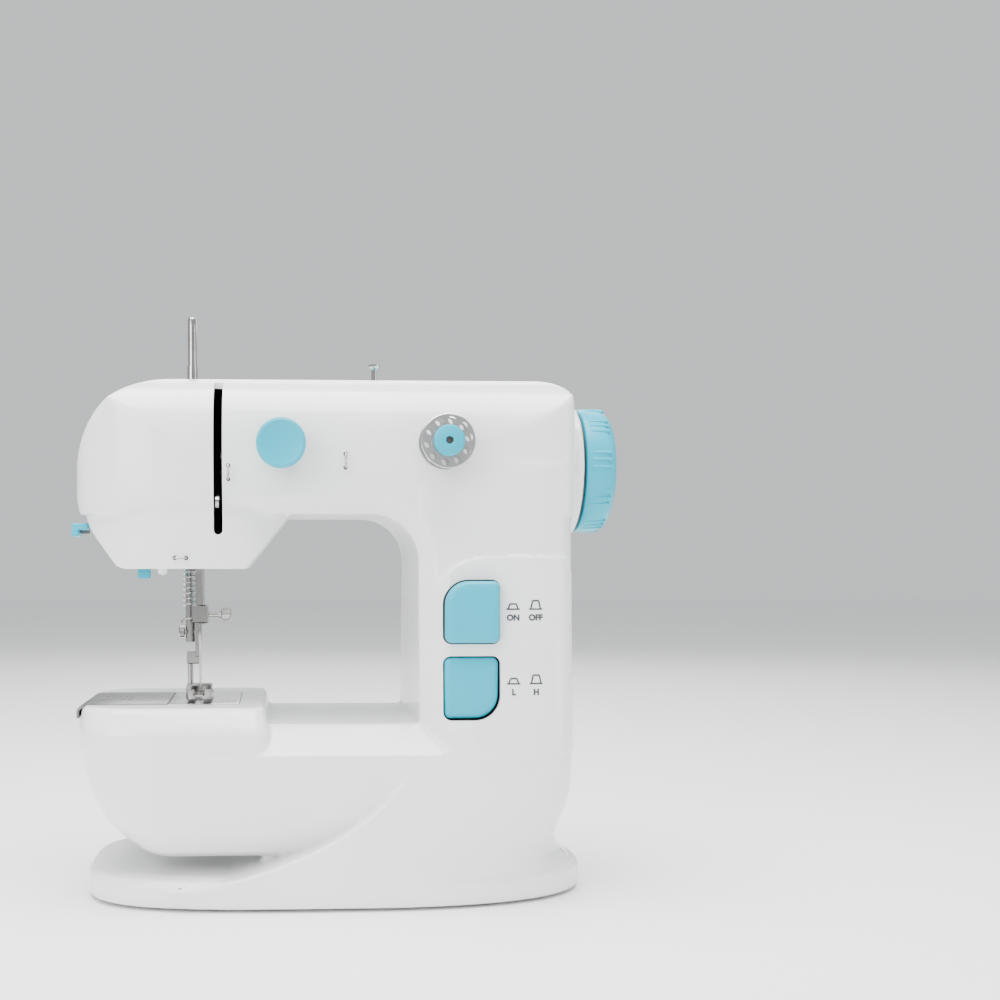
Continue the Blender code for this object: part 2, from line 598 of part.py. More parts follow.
def thread_path():
    """Spool pin, tension, wire guides, take-up lever and cutter."""
    x, y = SPOOL_PIN
    pin = turned([(0, ARM_TOP + 28), (1.4, ARM_TOP + 28), (SPOOL_PIN_RADIUS, ARM_TOP + 27.2),
                  (SPOOL_PIN_RADIUS, ARM_TOP - 16), (0, ARM_TOP - 16)], (x, y, 0), (0, 0, 1), 20)
    finish_piece(pin, "spool_pin", STEEL, (x, y, ARM_TOP))
    x, y = TOP_GUIDE
    disc = ring((x, y, ARM_TOP + GAP), (x, y, ARM_TOP + 1.6), 3.8, 1.2 + GAP)
    finish_piece(disc, "top_guide_collar", TEAL)
    post = turned([(0, ARM_TOP + 8.7), (2.4, ARM_TOP + 8.7), (2.4, ARM_TOP + 7.9), (1.2, ARM_TOP + 6.6),
                   (1.2, ARM_TOP - 7), (0, ARM_TOP - 7)], (x, y, 0), (0, 0, 1), 16)
    finish_piece(post, "top_guide_post", STEEL)
    face = -ARM_HALF_DEPTH
    x, z = KNOB
    knob = turned([(0, 15.0), (KNOB_RADIUS - 1.2, 15.0), (KNOB_RADIUS, 13.6), (KNOB_RADIUS, 8.6),
                   (KNOB_RADIUS - 0.8, 7.8), (3.0, 7.8), (3.0, 11.0), (0, 11.0)],
                  (x, face, z), (0, -1, 0), 28)
    finish_piece(knob, "tension_knob", TEAL, (x, face, z))
    post = rod((x, face + 12, z), (x, face - 10.5, z), 2.4)
    finish_piece(post, "tension_post", STEEL)
    discs = turned([(3.0, 2.6), (7.0, 2.9), (7.4, 2.2), (6.0, 1.6), (7.4, 1.0), (7.0, 0.4), (3.0, 0.6)],
                   (x, face - 0.2, z), (0, -1, 0), 24)
    finish_piece(discs, "tension_discs", STEEL)
    coil = [(x + 3.9 * math.cos(i * math.tau / 10), face - 3.9 - 3.1 * i / 25,
             z + 3.9 * math.sin(i * math.tau / 10)) for i in range(26)]
    finish_piece(wire(coil, 0.4), "tension_spring", STEEL)
    guides = [((NEEDLE_X + 12.6, 0), ARM_UNDER + 15.5), ((THROAT_WALL - 28.6, 0), ARM_UNDER + 20.0)]
    for number, ((gx, _), gz) in enumerate(guides, start=1):
        loop = [(gx, face - GAP - 0.4, gz - 2.6), (gx, face - 2.6, gz - 2.2), (gx, face - 3.2, gz),
                (gx, face - 2.6, gz + 2.2), (gx, face - GAP - 0.4, gz + 2.6)]
        finish_piece(wire(loop, 0.4), f"thread_guide_{number}", STEEL)
    gz, gy = HEAD_BOTTOM + 4.2, face + 2.0
    loop = [(NEEDLE_X - 8.0, gy - GAP - 0.4, gz), (NEEDLE_X - 7.2, gy - 2.4, gz),
            (NEEDLE_X - 5.8, gy - 3.0, gz), (NEEDLE_X - 4.4, gy - 2.4, gz),
            (NEEDLE_X - 3.6, gy - GAP - 0.4, gz)]
    finish_piece(wire(loop, 0.4), "thread_guide_3", STEEL)
    pivot_y, pivot_z = 10.0, SHAFT_Z + 6.0
    eye = (-ARM_HALF_DEPTH - 5.0, ARM_UNDER + 4.0)
    lever = wire([(SLOT_X, pivot_y, pivot_z), (SLOT_X, -20, pivot_z - 9.5), (SLOT_X, *eye)],
                 LEVER_THICKNESS / 2)
    join(lever, rod((SLOT_X - 0.7, pivot_y, pivot_z), (SLOT_X + 0.7, pivot_y, pivot_z), 4.0),
         rod((SLOT_X - 0.6, *eye), (SLOT_X + 0.6, *eye), 2.4))
    cut(lever, rod((SLOT_X - 3, *eye), (SLOT_X + 3, *eye), 1.1))
    finish_piece(lever, "take_up_lever", STEEL, (SLOT_X, pivot_y, pivot_z))
    cutter = box((HEAD_LEFT, -21, CUTTER_Z - 2.6), (HEAD_LEFT + 6.4, -9, CUTTER_Z + 2.6), 0.9)
    cut(cutter, box((HEAD_LEFT - 3, -15.8, CUTTER_Z - 0.4), (HEAD_LEFT + 2.6, -14.2, CUTTER_Z + 5)))
    cut(cutter, head_grown())
    finish_piece(cutter, "thread_cutter", TEAL)


def head_grown():
    """The head's own outline, a clearance bigger, for pieces that sit on it."""
    return head_body(-GAP)


def winder():
    """Bobbin winder on the front of the column, driven by a friction roller on the main shaft."""
    x, z = WINDER
    face = -ARM_HALF_DEPTH
    spindle = turned([(0, 14.6), (3.0, 14.6), (3.0, 1.0), (2.4, 1.0), (2.4, -24), (5.0, -24.6), (5.0, -28),
                      (0, -28)], (x, face, z), (0, -1, 0), 20)
    finish_piece(spindle, "winder_spindle", STEEL, (x, face, z))
    bobbin = turned([(3.3, 14.0), (BOBBIN_RADIUS, 14.0), (BOBBIN_RADIUS, 13.0), (4.2, 13.0), (4.2, 4.0),
                     (BOBBIN_RADIUS, 4.0), (BOBBIN_RADIUS, 3.0), (3.3, 3.0)], (x, face, z), (0, -1, 0), 30)
    finish_piece(bobbin, "bobbin", STEEL, (x, face, z))
    cap = turned([(0, CAP_REACH), (5.2, CAP_REACH), (5.8, CAP_REACH - 0.6), (5.8, 14.9), (0, 14.9)],
                 (x, face, z), (0, -1, 0), 24)
    finish_piece(cap, "winder_cap", TEAL, (x, face, z))


def buttons():
    """Push buttons, the latching switches behind them, the board and the two sockets."""
    for which in ("power", "speed"):
        depth = PANEL_Y - (BUTTON_PROUD if which == "power" else -0.6)
        key = slab(button_outline(which, 0.0), depth, PANEL_Y + 8, "XZ")
        centre = (BUTTON_X + BUTTON_SIZE / 2, PANEL_Y, BUTTON_LOW[which] + BUTTON_HEIGHT / 2)
        finish_piece(key, f"{which}_button", TEAL, centre)
        cx, _, cz = centre
        switch = box((cx - 4, PANEL_Y + 13, cz - 6), (cx + 4, PANEL_Y + 22, cz + 6), 0.4, 1)
        finish_piece(switch, f"{which}_switch", DARK)
    low, high = BUTTON_LOW["speed"], BUTTON_LOW["power"] + BUTTON_HEIGHT
    board = box((BUTTON_X, PANEL_Y + 22 + GAP, low + 2), (BUTTON_X + BUTTON_SIZE, PANEL_Y + 24, high - 2))
    finish_piece(board, "circuit_board", BOARD)
    panel = box((JACKS[0] - 6, 35, JACK_Z - 7), (JACKS[1] + 6, 37, JACK_Z + 7), 0.4, 1)
    for x in JACKS:
        join(panel, rod((x, 36, JACK_Z), (x, 48.5, JACK_Z), 4.0))
        cut(panel, rod((x, 41.5, JACK_Z), (x, 55, JACK_Z), 2.7))
    finish_piece(panel, "jack_panel", DARK)


def drive():
    """Handwheel, main shaft, pulleys, belts and the motor."""
    main = (0, 0, SHAFT_Z)
    wheel = turned([(0, WHEEL_WIDTH), (WHEEL_RADIUS - 5, WHEEL_WIDTH), (WHEEL_RADIUS - 1.6, WHEEL_WIDTH - 1.6),
                    (WHEEL_RADIUS - 0.3, WHEEL_WIDTH - 5), (WHEEL_RADIUS, 0.8), (WHEEL_RADIUS - 0.6, 0),
                    (SHAFT_RADIUS + GAP, 0), (SHAFT_RADIUS + GAP, 9), (0, 9)],
                   (WHEEL_LEFT, 0, SHAFT_Z), (1, 0, 0), 48)
    finish_piece(wheel, "handwheel", TEAL, (WHEEL_LEFT, 0, SHAFT_Z))
    start = SLOT_X + 8.0
    shaft = rod((start, 0, SHAFT_Z), (WHEEL_LEFT + 9 - GAP, 0, SHAFT_Z), SHAFT_RADIUS)
    roller = WINDER[0] + 5.0 + GAP + 0.2
    join(shaft, rod((roller, 0, SHAFT_Z), (roller + 3, 0, SHAFT_Z), 16.0, sides=28))
    finish_piece(shaft, "main_shaft", STEEL, main)
    for level, x, y, z, _ in RIBS:
        if level == "upper":
            name = "left_bush" if x < 0 else "right_bush"
            bush = ring((x - 3.5, y, z), (x + 3.5, y, z), BUSH_RADIUS, SHAFT_RADIUS + GAP, 20)
            finish_piece(bush, name, BRASS)
    right = COLUMN_RIGHT - 11.5
    pulley = ring((right - 7, 0, SHAFT_Z), (right, 0, SHAFT_Z), 21.0, SHAFT_RADIUS + GAP, 36)
    join(pulley, ring((right - 15, 0, SHAFT_Z), (right - 6.5, 0, SHAFT_Z), 13.0, SHAFT_RADIUS + GAP, 28))
    finish_piece(pulley, "main_pulley", NYLON, main)
    crank = rod((start - 4, 0, SHAFT_Z), (start - GAP, 0, SHAFT_Z), 15.0, sides=28)
    throw = NEEDLE_STROKE / 2
    join(crank, rod((start - 6.2, 0, SHAFT_Z + throw), (start - 3, 0, SHAFT_Z + throw), 1.8))
    finish_piece(crank, "crank_disc", STEEL, main)
    link = slab(rounded_rectangle(-3.4, SHAFT_Z + throw - 24, 3.4, SHAFT_Z + throw + 3.4,
                                  (3.2, 3.2, 3.2, 3.2), 3), start - 6.4, start - 4 - GAP, "YZ")
    cut(link, rod((start - 9, 0, SHAFT_Z + throw), (start, 0, SHAFT_Z + throw), 1.8 + GAP))
    finish_piece(link, "connecting_rod", STEEL, (start, 0, SHAFT_Z + throw))
    x, y, z = MOTOR
    motor = rod((x, y, z), (x + 30, y, z), MOTOR_RADIUS, sides=28)
    join(motor, rod((x + 29, y, z), (right + 1.5, y, z), 1.0, sides=12))
    finish_piece(motor, "motor", STEEL)
    pinion = ring((right - 7, y, z), (right, y, z), 4.0, 1.0 + GAP, 20)
    finish_piece(pinion, "motor_pulley", BRASS, (right, y, z))
    belt(("drive_belt", right - 5.5, right - 1.5), (0.0, SHAFT_Z, 21.0), (y, z, 4.0))
    belt(("timing_belt", right - 14, right - 8.6), (0.0, SHAFT_Z, 13.0), (NEEDLE_Y, HOOK_Z, 6.5))
    lower = rod((NEEDLE_X + 1.5, NEEDLE_Y, HOOK_Z), (right - 6, NEEDLE_Y, HOOK_Z), SHAFT_RADIUS)
    join(lower, rod((right - 15, NEEDLE_Y, HOOK_Z), (right - 7.6, NEEDLE_Y, HOOK_Z), 6.5, sides=24))
    finish_piece(lower, "lower_shaft", STEEL, (0, NEEDLE_Y, HOOK_Z))


def belt(named, upper, lower):
    """A closed belt round two pulleys whose axes run along X."""
    name, x0, x1 = named
    loops = []
    for extra in (GAP + BELT_THICKNESS, GAP):
        y1, z1, r1 = upper[0], upper[1], upper[2] + extra
        y0, z0, r0 = lower[0], lower[1], lower[2] + extra
        along = math.degrees(math.atan2(z1 - z0, y1 - y0))
        spread = math.degrees(math.acos((r1 - r0) / math.hypot(y1 - y0, z1 - z0)))
        wrap = 180 - spread
        loops.append(arc(y1, z1, r1, along - wrap, along + wrap, 18)
                     + arc(y0, z0, r0, along + wrap, along + 360 - wrap, 10))
    outer = slab(loops[0], x0, x1, "YZ")
    cut(outer, slab(loops[1], x0 - 5, x1 + 5, "YZ"))
    finish_piece(outer, name, RUBBER)


def needle_side():
    """Needle bar, presser bar and what they carry."""
    x, y = NEEDLE_X, NEEDLE_Y
    low = HEAD_BOTTOM - 22.5
    bar = rod((x, y, low), (x, y, HEAD_BOTTOM + 56), BAR_RADIUS)
    join(bar, box((x - 3.2, y - 2.6, low + 0.6), (x + 3.6, y + 2.6, low + 8), 0.5, 1))
    hook = wire([(x - 2.6, y - 1.0, low + 2.6), (x - 5.4, y - 1.6, low + 2.4), (x - 7.4, y - 2.4, low + 1.6),
                 (x - 7.0, y - 3.4, low + 0.9)], 0.45)
    join(bar, hook)
    cut(bar, rod((x, y, low - 3), (x, y, low + 5), 0.8 + GAP, sides=12),
        rod((x + 1.2, y, low + 4), (x + 9, y, low + 4), 1.1 + GAP, sides=12))
    finish_piece(bar, "needle_bar", STEEL, (x, y, low))
    screw = turned([(0, 12.6), (2.4, 12.6), (2.9, 12.0), (2.9, 8.6), (1.2, 8.0), (1.0, 7.6), (1.0, 1.6),
                    (0, 1.6)], (x, y, low + 4), (1, 0, 0), 16)
    finish_piece(screw, "needle_clamp_screw", STEEL, (x, y, low + 4))
    tip = BED_TOP + 2.4
    needle = turned([(0, low + 4.4), (0.8, low + 4.4), (0.8, low - 6), (0.45, low - 8.5), (0.4, tip + 3),
                     (0, tip)], (x, y, 0), (0, 0, 1), 12)
    finish_piece(needle, "needle", STEEL, (x, y, low))
    x, y = PRESSER_X, 0.0
    low = BED_TOP + 23.0
    bar = rod((x, y, low), (x, y, HEAD_BOTTOM + 50), BAR_RADIUS)
    join(bar, rod((x, y, HEAD_BOTTOM + 4.2), (x, y, HEAD_BOTTOM + 6.6), 4.2))
    cut(bar, rod((x - 5, y, low + 4), (x + 5, y, low + 4), 0.9 + GAP, sides=12))
    finish_piece(bar, "presser_bar", STEEL, (x, y, low))
    turns, per_turn = 8, 9
    coil = [(x + 2.75 * math.cos(i * math.tau / per_turn), y + 2.75 * math.sin(i * math.tau / per_turn),
             HEAD_BOTTOM - 16 + 17.5 * i / (turns * per_turn)) for i in range(turns * per_turn + 1)]
    finish_piece(wire(coil, 0.4, 1), "presser_spring", STEEL)
    foot_pieces(x, y, low)
    x, z = LIFTER
    lifter = rod((x, 6, z), (x, ARM_HALF_DEPTH + 1.5, z), 2.5)
    join(lifter, slab(rounded_rectangle(x - 3.4, z - 10.5, x + 3.4, z + 4, (3, 3, 3, 3), 3),
                      ARM_HALF_DEPTH - 1.2, ARM_HALF_DEPTH + 1.8, "XZ"),
         rod((x, 6, z), (x, 10, z), 4.4))
    finish_piece(lifter, "presser_lifter", STEEL, (x, 0, z))


def foot_pieces(x, y, low):
    """The presser foot with its shank, and the screw that clamps it to the bar."""
    sole = BED_TOP + 1.6
    shank = box((x + BAR_RADIUS + GAP, y - 2.6, low - 6), (x + BAR_RADIUS + 1.9, y + 2.6, low + 9), 0.3, 1)
    join(shank, box((x - 1.4, y - 2.0, low - 9), (x + BAR_RADIUS + 1.9, y + 2.0, low - 4), 0.4, 1),
         rod((x, y, sole + 1.5), (x, y, low - 6), 1.2, sides=12))
    outline = rounded_rectangle(NEEDLE_X - 5.0, -24.0, NEEDLE_X + 5.0, 4.0, (2.2, 2.2, 1.0, 1.0), 3)
    plate = slab(outline, sole, sole + 1.4, "XY")
    toe = [(x0, y0 - 2.0, sole + 0.2) for x0, y0 in ((NEEDLE_X - 5.0, -22), (NEEDLE_X + 1.6, -22))]
    for tx, ty, tz in toe:
        join(plate, box((tx, ty, tz), (tx + 3.4, ty + 7, tz + 3.2), 0.8, 1))
    join(plate, box((NEEDLE_X - 6.2, -4.5, sole + 0.9), (NEEDLE_X + 4.4, 3.4, sole + 4.2), 0.6, 1))
    cut(plate, box((NEEDLE_X - 1.5, -30, sole - 3), (NEEDLE_X + 1.5, NEEDLE_Y + 3.0, sole + 8)))
    join(shank, plate)
    finish_piece(shank, "presser_foot", STEEL)
    screw = turned([(0, 4.6), (2.0, 4.6), (2.4, 4.1), (2.4, 2.4), (0.9, 2.1), (0.9, -1.9), (0, -1.9)],
                   (x, y, low + 4), (-1, 0, 0), 14)
    finish_piece(screw, "presser_foot_screw", STEEL, (x, y, low + 4))


def bed_pieces():
    """Needle plate, slide plate, feed dog, hook and the lower bobbin."""
    low, high = BED_TOP - PLATE_THICKNESS, BED_TOP + 0.15
    plate = box((PLATE_JOIN + GAP / 2, PLATE_FRONT, low), (PLATE_RIGHT, PLATE_BACK, high))
    cut(plate, rod((NEEDLE_X, NEEDLE_Y, low - 3), (NEEDLE_X, NEEDLE_Y, high + 3), 1.5, sides=12))
    dog = box((NEEDLE_X - 4.4, NEEDLE_Y - 2, low - 5), (NEEDLE_X + 4.4, NEEDLE_Y + 14, low - 2.6))
    cut(dog, rod((NEEDLE_X, NEEDLE_Y, low - 9), (NEEDLE_X, NEEDLE_Y, high), 1.2 + FEED_TRAVEL, sides=12))
    for offset in (-3.4, 3.4):
        x = NEEDLE_X + offset
        cut(plate, box((x - 1.1, NEEDLE_Y - 1.0, low - 3), (x + 1.1, NEEDLE_Y + 12.4, high + 3)))
        join(dog, box((x - 0.7, NEEDLE_Y + 1.0, low - 3), (x + 0.7, NEEDLE_Y + 10.4, BED_TOP)))
    finish_piece(plate, "needle_plate", PLATE)
    finish_piece(dog, "feed_dog", STEEL, (NEEDLE_X, NEEDLE_Y, low - 3))
    lip = BED_LEFT - GAP
    slide = box((lip - PLATE_THICKNESS, PLATE_FRONT, low), (PLATE_JOIN - GAP / 2, PLATE_BACK, high))
    join(slide, box((lip - PLATE_THICKNESS, PLATE_FRONT, low - LIP_DROP), (lip, PLATE_BACK, high)))
    finish_piece(slide, "slide_plate", PLATE, (PLATE_LEFT, 0, low))
    x = NEEDLE_X + 1.0
    hook = turned([(0, 0), (HOOK_RADIUS - 1, 0), (HOOK_RADIUS, -1.0), (HOOK_RADIUS, -11),
                   (HOOK_RADIUS - 1.4, -11), (HOOK_RADIUS - 1.4, -2.0), (0, -2.0)],
                  (x - 2, NEEDLE_Y, HOOK_Z), (1, 0, 0), 28)
    cut(hook, box((x - 20, NEEDLE_Y - 5, HOOK_Z + 8), (x - 5, NEEDLE_Y + 5, HOOK_Z + 20)))
    finish_piece(hook, "hook", STEEL, (x, NEEDLE_Y, HOOK_Z))
    bobbin = turned([(3.0, 0), (BOBBIN_RADIUS, 0), (BOBBIN_RADIUS, -0.8), (4.2, -0.8), (4.2, -8),
                     (BOBBIN_RADIUS, -8), (BOBBIN_RADIUS, -8.8), (3.0, -8.8)],
                    (x - 4.6, NEEDLE_Y, HOOK_Z), (1, 0, 0), 26)
    finish_piece(bobbin, "lower_bobbin", STEEL, (x, NEEDLE_Y, HOOK_Z))


def lights():
    """Slide switch and lamp under the head."""
    x, y = LIGHT_SWITCH
    switch = box((x - 2.5, y - 2.0, HEAD_BOTTOM - 4.0), (x + 2.5, y + 2.0, HEAD_BOTTOM + 3.4), 0.4, 1)
    finish_piece(switch, "light_switch", TEAL, (x, y, HEAD_BOTTOM))
    lamp = turned([(0, 4.0), (2.0, 4.0), (2.0, -1.2), (1.6, -2.2), (0, -2.6)], (*LAMP, HEAD_BOTTOM),
                  (0, 0, 1), 16)
    finish_piece(lamp, "lamp", LENS)


def centre_on_origin():
    """The winder cap reaches further forward than the base, so the whole moves back by half of that."""
    shift = (ARM_HALF_DEPTH + CAP_REACH - BASE_HALF_DEPTH) / 2 * MM
    for piece in collection().objects:
        piece.location.y += shift


shells()
base_pieces()
thread_path()
winder()
buttons()
drive()
needle_side()
bed_pieces()
lights()
centre_on_origin()
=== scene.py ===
import json
import math

import bmesh
import bpy
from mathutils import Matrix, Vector


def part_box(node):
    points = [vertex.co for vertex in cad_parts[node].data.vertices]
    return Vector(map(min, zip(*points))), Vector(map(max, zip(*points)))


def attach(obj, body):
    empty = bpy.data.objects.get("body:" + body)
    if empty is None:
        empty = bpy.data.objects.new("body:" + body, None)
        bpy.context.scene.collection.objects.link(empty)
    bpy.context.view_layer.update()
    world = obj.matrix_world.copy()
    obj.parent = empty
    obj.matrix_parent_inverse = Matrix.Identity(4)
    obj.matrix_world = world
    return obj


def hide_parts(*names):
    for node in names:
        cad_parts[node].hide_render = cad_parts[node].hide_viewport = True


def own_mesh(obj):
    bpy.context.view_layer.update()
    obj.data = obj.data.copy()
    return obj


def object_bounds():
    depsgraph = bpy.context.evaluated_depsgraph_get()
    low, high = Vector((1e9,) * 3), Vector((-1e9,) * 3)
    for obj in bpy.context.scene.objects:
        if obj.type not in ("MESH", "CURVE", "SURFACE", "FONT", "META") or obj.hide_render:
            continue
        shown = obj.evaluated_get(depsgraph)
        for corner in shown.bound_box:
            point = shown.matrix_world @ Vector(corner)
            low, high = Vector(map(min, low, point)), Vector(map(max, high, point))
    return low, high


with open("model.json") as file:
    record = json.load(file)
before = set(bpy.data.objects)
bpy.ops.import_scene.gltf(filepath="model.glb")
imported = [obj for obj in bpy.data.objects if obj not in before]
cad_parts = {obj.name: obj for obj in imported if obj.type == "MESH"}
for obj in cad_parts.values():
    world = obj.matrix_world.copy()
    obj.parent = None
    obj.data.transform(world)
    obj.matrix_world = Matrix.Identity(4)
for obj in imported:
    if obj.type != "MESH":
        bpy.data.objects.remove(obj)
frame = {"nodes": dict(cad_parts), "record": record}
cad_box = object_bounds()
bpy.ops.object.select_all(action="DESELECT")


# Camera, floor and studio light. The machine stands on a pale table under one large soft box
# from above and in front, with two weaker panels that open up the sides.
MM = 0.001
MIDDLE_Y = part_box("main_shaft")[0].y / 2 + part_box("main_shaft")[1].y / 2

bpy.ops.object.camera_add(location=(-28.6 * MM, MIDDLE_Y - 557 * MM, 131.5 * MM),
                          rotation=(math.radians(90 - 3.18), 0, math.radians(-2.76)))
camera = bpy.context.object
camera.name = "camera"
camera.data.lens = 48.6
camera.data.sensor_width = 36.0
camera.data.shift_x = 0.16
camera.data.shift_y = 0.14
camera.data.clip_start = 0.01
bpy.context.scene.camera = camera

world = bpy.data.worlds.new("studio")
world.use_nodes = True
world.node_tree.nodes["Background"].inputs["Color"].default_value = (0.93, 0.95, 0.97, 1)
world.node_tree.nodes["Background"].inputs["Strength"].default_value = 0.82
bpy.context.scene.world = world


def soft_box(name, place, target, width, height, power):
    """A rectangular studio light at a place, aimed at a target."""
    bpy.ops.object.light_add(type="AREA", location=place)
    lamp = bpy.context.object
    lamp.name = name
    lamp.data.shape = "RECTANGLE"
    lamp.data.size = width
    lamp.data.size_y = height
    lamp.data.energy = power
    lamp.rotation_euler = (Vector(target) - Vector(place)).to_track_quat("-Z", "Y").to_euler()


soft_box("top_box", (-0.05, -0.12, 0.95), (0, 0, 0.10), 0.9, 0.7, 27.0)
soft_box("front_box", (-0.75, -0.95, 0.62), (0, 0, 0.10), 0.7, 0.8, 14.0)
soft_box("right_panel", (0.95, -0.25, 0.40), (0, 0, 0.10), 0.4, 0.8, 3.0)
soft_box("back_panel", (0.2, 1.1, 0.8), (0, 0, 0.12), 0.9, 0.6, 7.0)

bpy.ops.mesh.primitive_plane_add(size=9.0, location=(0, 0, -0.0002))
floor = bpy.context.object
floor.name = "table_top"
floor_material = bpy.data.materials.new("pale_table")
floor_material.use_nodes = True
floor_shader = floor_material.node_tree.nodes["Principled BSDF"]
floor_shader.inputs["Base Color"].default_value = (0.93, 0.93, 0.93, 1)
floor_shader.inputs["Roughness"].default_value = 0.55
floor.data.materials.append(floor_material)


# Housing, front and rear half shells: thick-walled gloss ABS mouldings that meet on the middle
# plane. The arm, column, free arm and base are one soft-edged body, chamfered round the throat,
# fused and smoothed, then halved, given its wall and opened for everything that passes through.
def surface_group():
    """Slow mottling, a fine grain and a sparse speck mask over object space."""
    group = bpy.data.node_groups.new("surface_variation", "ShaderNodeTree")
    face = group.interface
    for name, value in (("Mottle Scale", 30.0), ("Grain Scale", 900.0), ("Stretch", 1.0)):
        face.new_socket(name, in_out="INPUT", socket_type="NodeSocketFloat").default_value = value
    for name in ("Mottle", "Grain", "Specks"):
        face.new_socket(name, in_out="OUTPUT", socket_type="NodeSocketFloat")
    nodes, links = group.nodes, group.links
    source = nodes.new("NodeGroupInput")
    target = nodes.new("NodeGroupOutput")
    where = nodes.new("ShaderNodeTexCoord")
    stretch = nodes.new("ShaderNodeCombineXYZ")
    stretch.inputs["Y"].default_value = 1.0
    stretch.inputs["Z"].default_value = 1.0
    scaled = nodes.new("ShaderNodeVectorMath")
    scaled.operation = "MULTIPLY"
    links.new(source.outputs["Stretch"], stretch.inputs["X"])
    links.new(where.outputs["Object"], scaled.inputs[0])
    links.new(stretch.outputs[0], scaled.inputs[1])
    mottle = nodes.new("ShaderNodeTexNoise")
    mottle.inputs["Detail"].default_value = 4.0
    grain = nodes.new("ShaderNodeTexNoise")
    grain.inputs["Detail"].default_value = 2.0
    links.new(scaled.outputs[0], mottle.inputs["Vector"])
    links.new(scaled.outputs[0], grain.inputs["Vector"])
    links.new(source.outputs["Mottle Scale"], mottle.inputs["Scale"])
    links.new(source.outputs["Grain Scale"], grain.inputs["Scale"])
    specks = nodes.new("ShaderNodeTexVoronoi")
    specks.inputs["Scale"].default_value = 260.0
    cut = nodes.new("ShaderNodeMapRange")
    cut.inputs["From Min"].default_value = 0.06
    cut.inputs["From Max"].default_value = 0.03
    links.new(where.outputs["Object"], specks.inputs["Vector"])
    links.new(specks.outputs["Distance"], cut.inputs["Value"])
    links.new(mottle.outputs["Fac"], target.inputs["Mottle"])
    links.new(grain.outputs["Fac"], target.inputs["Grain"])
    links.new(cut.outputs["Result"], target.inputs["Specks"])
    return group


SURFACE = surface_group()


def finish(name, colour, shade, rough, grain=0.02, metal=0.0, mottle_scale=30.0, grain_scale=900.0,
           stretch=1.0, coat=0.0, specks=0.0, shine=0.5):
    """A Principled finish: colour drifts to shade, roughness between two values, bump from grain."""
    made = bpy.data.materials.new(name)
    made.use_nodes = True
    nodes, links = made.node_tree.nodes, made.node_tree.links
    shader = nodes["Principled BSDF"]
    shader.inputs["Metallic"].default_value = metal
    shader.inputs["Coat Weight"].default_value = coat
    shader.inputs["Coat Roughness"].default_value = 0.06
    shader.inputs["IOR"].default_value = 1.5
    shader.inputs["Specular IOR Level"].default_value = shine
    varied = nodes.new("ShaderNodeGroup")
    varied.node_tree = SURFACE
    varied.inputs["Mottle Scale"].default_value = mottle_scale
    varied.inputs["Grain Scale"].default_value = grain_scale
    varied.inputs["Stretch"].default_value = stretch
    spread = nodes.new("ShaderNodeMapRange")
    spread.inputs["From Min"].default_value = 0.35
    spread.inputs["From Max"].default_value = 0.65
    links.new(varied.outputs["Mottle"], spread.inputs["Value"])
    mix = nodes.new("ShaderNodeMix")
    mix.data_type = "RGBA"
    mix.inputs[6].default_value = (*colour, 1)
    mix.inputs[7].default_value = (*shade, 1)
    links.new(spread.outputs["Result"], mix.inputs[0])
    dust = nodes.new("ShaderNodeMix")
    dust.data_type = "RGBA"
    dust.inputs[7].default_value = (0.45, 0.44, 0.42, 1)
    level = nodes.new("ShaderNodeMath")
    level.operation = "MULTIPLY"
    level.inputs[1].default_value = specks
    links.new(varied.outputs["Specks"], level.inputs[0])
    links.new(level.outputs[0], dust.inputs[0])
    links.new(mix.outputs[2], dust.inputs[6])
    links.new(dust.outputs[2], shader.inputs["Base Color"])
    dulled = nodes.new("ShaderNodeMapRange")
    dulled.inputs["From Min"].default_value = 0.3
    dulled.inputs["From Max"].default_value = 0.7
    dulled.inputs["To Min"].default_value = rough[0]
    dulled.inputs["To Max"].default_value = rough[1]
    links.new(varied.outputs["Mottle"], dulled.inputs["Value"])
    links.new(dulled.outputs["Result"], shader.inputs["Roughness"])
    bump = nodes.new("ShaderNodeBump")
    bump.inputs["Strength"].default_value = grain
    bump.inputs["Distance"].default_value = 0.0002
    links.new(varied.outputs["Grain"], bump.inputs["Height"])
    links.new(bump.outputs["Normal"], shader.inputs["Normal"])
    return made


WHITE = finish("gloss_white_abs", (0.80, 0.805, 0.80), (0.775, 0.78, 0.775), (0.16, 0.24), 0.03,
               coat=0.25, specks=0.05)
needle_low, needle_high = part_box("needle")
NEEDLE = ((needle_low.x + needle_high.x) / 2 / MM, (needle_low.y + needle_high.y) / 2 / MM)
BED_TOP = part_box("needle_plate")[1].z / MM - 0.15
PLATFORM = BED_TOP - 6.7
UNDER_ARM = PLATFORM + 80.9
ARM_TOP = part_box("front_shell")[1].z / MM
HEAD_BOTTOM = UNDER_ARM - 21.2
NOSE = cad_box[0][0] / MM + 0.2
THROAT = NEEDLE[0] + 85.8
COLUMN = THROAT + 62.8
CENTRE = MIDDLE_Y / MM
ARM_DEPTH, BED_DEPTH, BASE_DEPTH = 40.0, 52.0, 53.0
BASE_X, BASE_LONG, RIM = -3.5, 100.6, 11.5
BOWL = RIM + 6.0
BED_LEFT = NOSE + 1.9
WALL = 2.2
SEAM = 0.3
SKIN_VOXEL, CORE_VOXEL = 1.15, 1.6


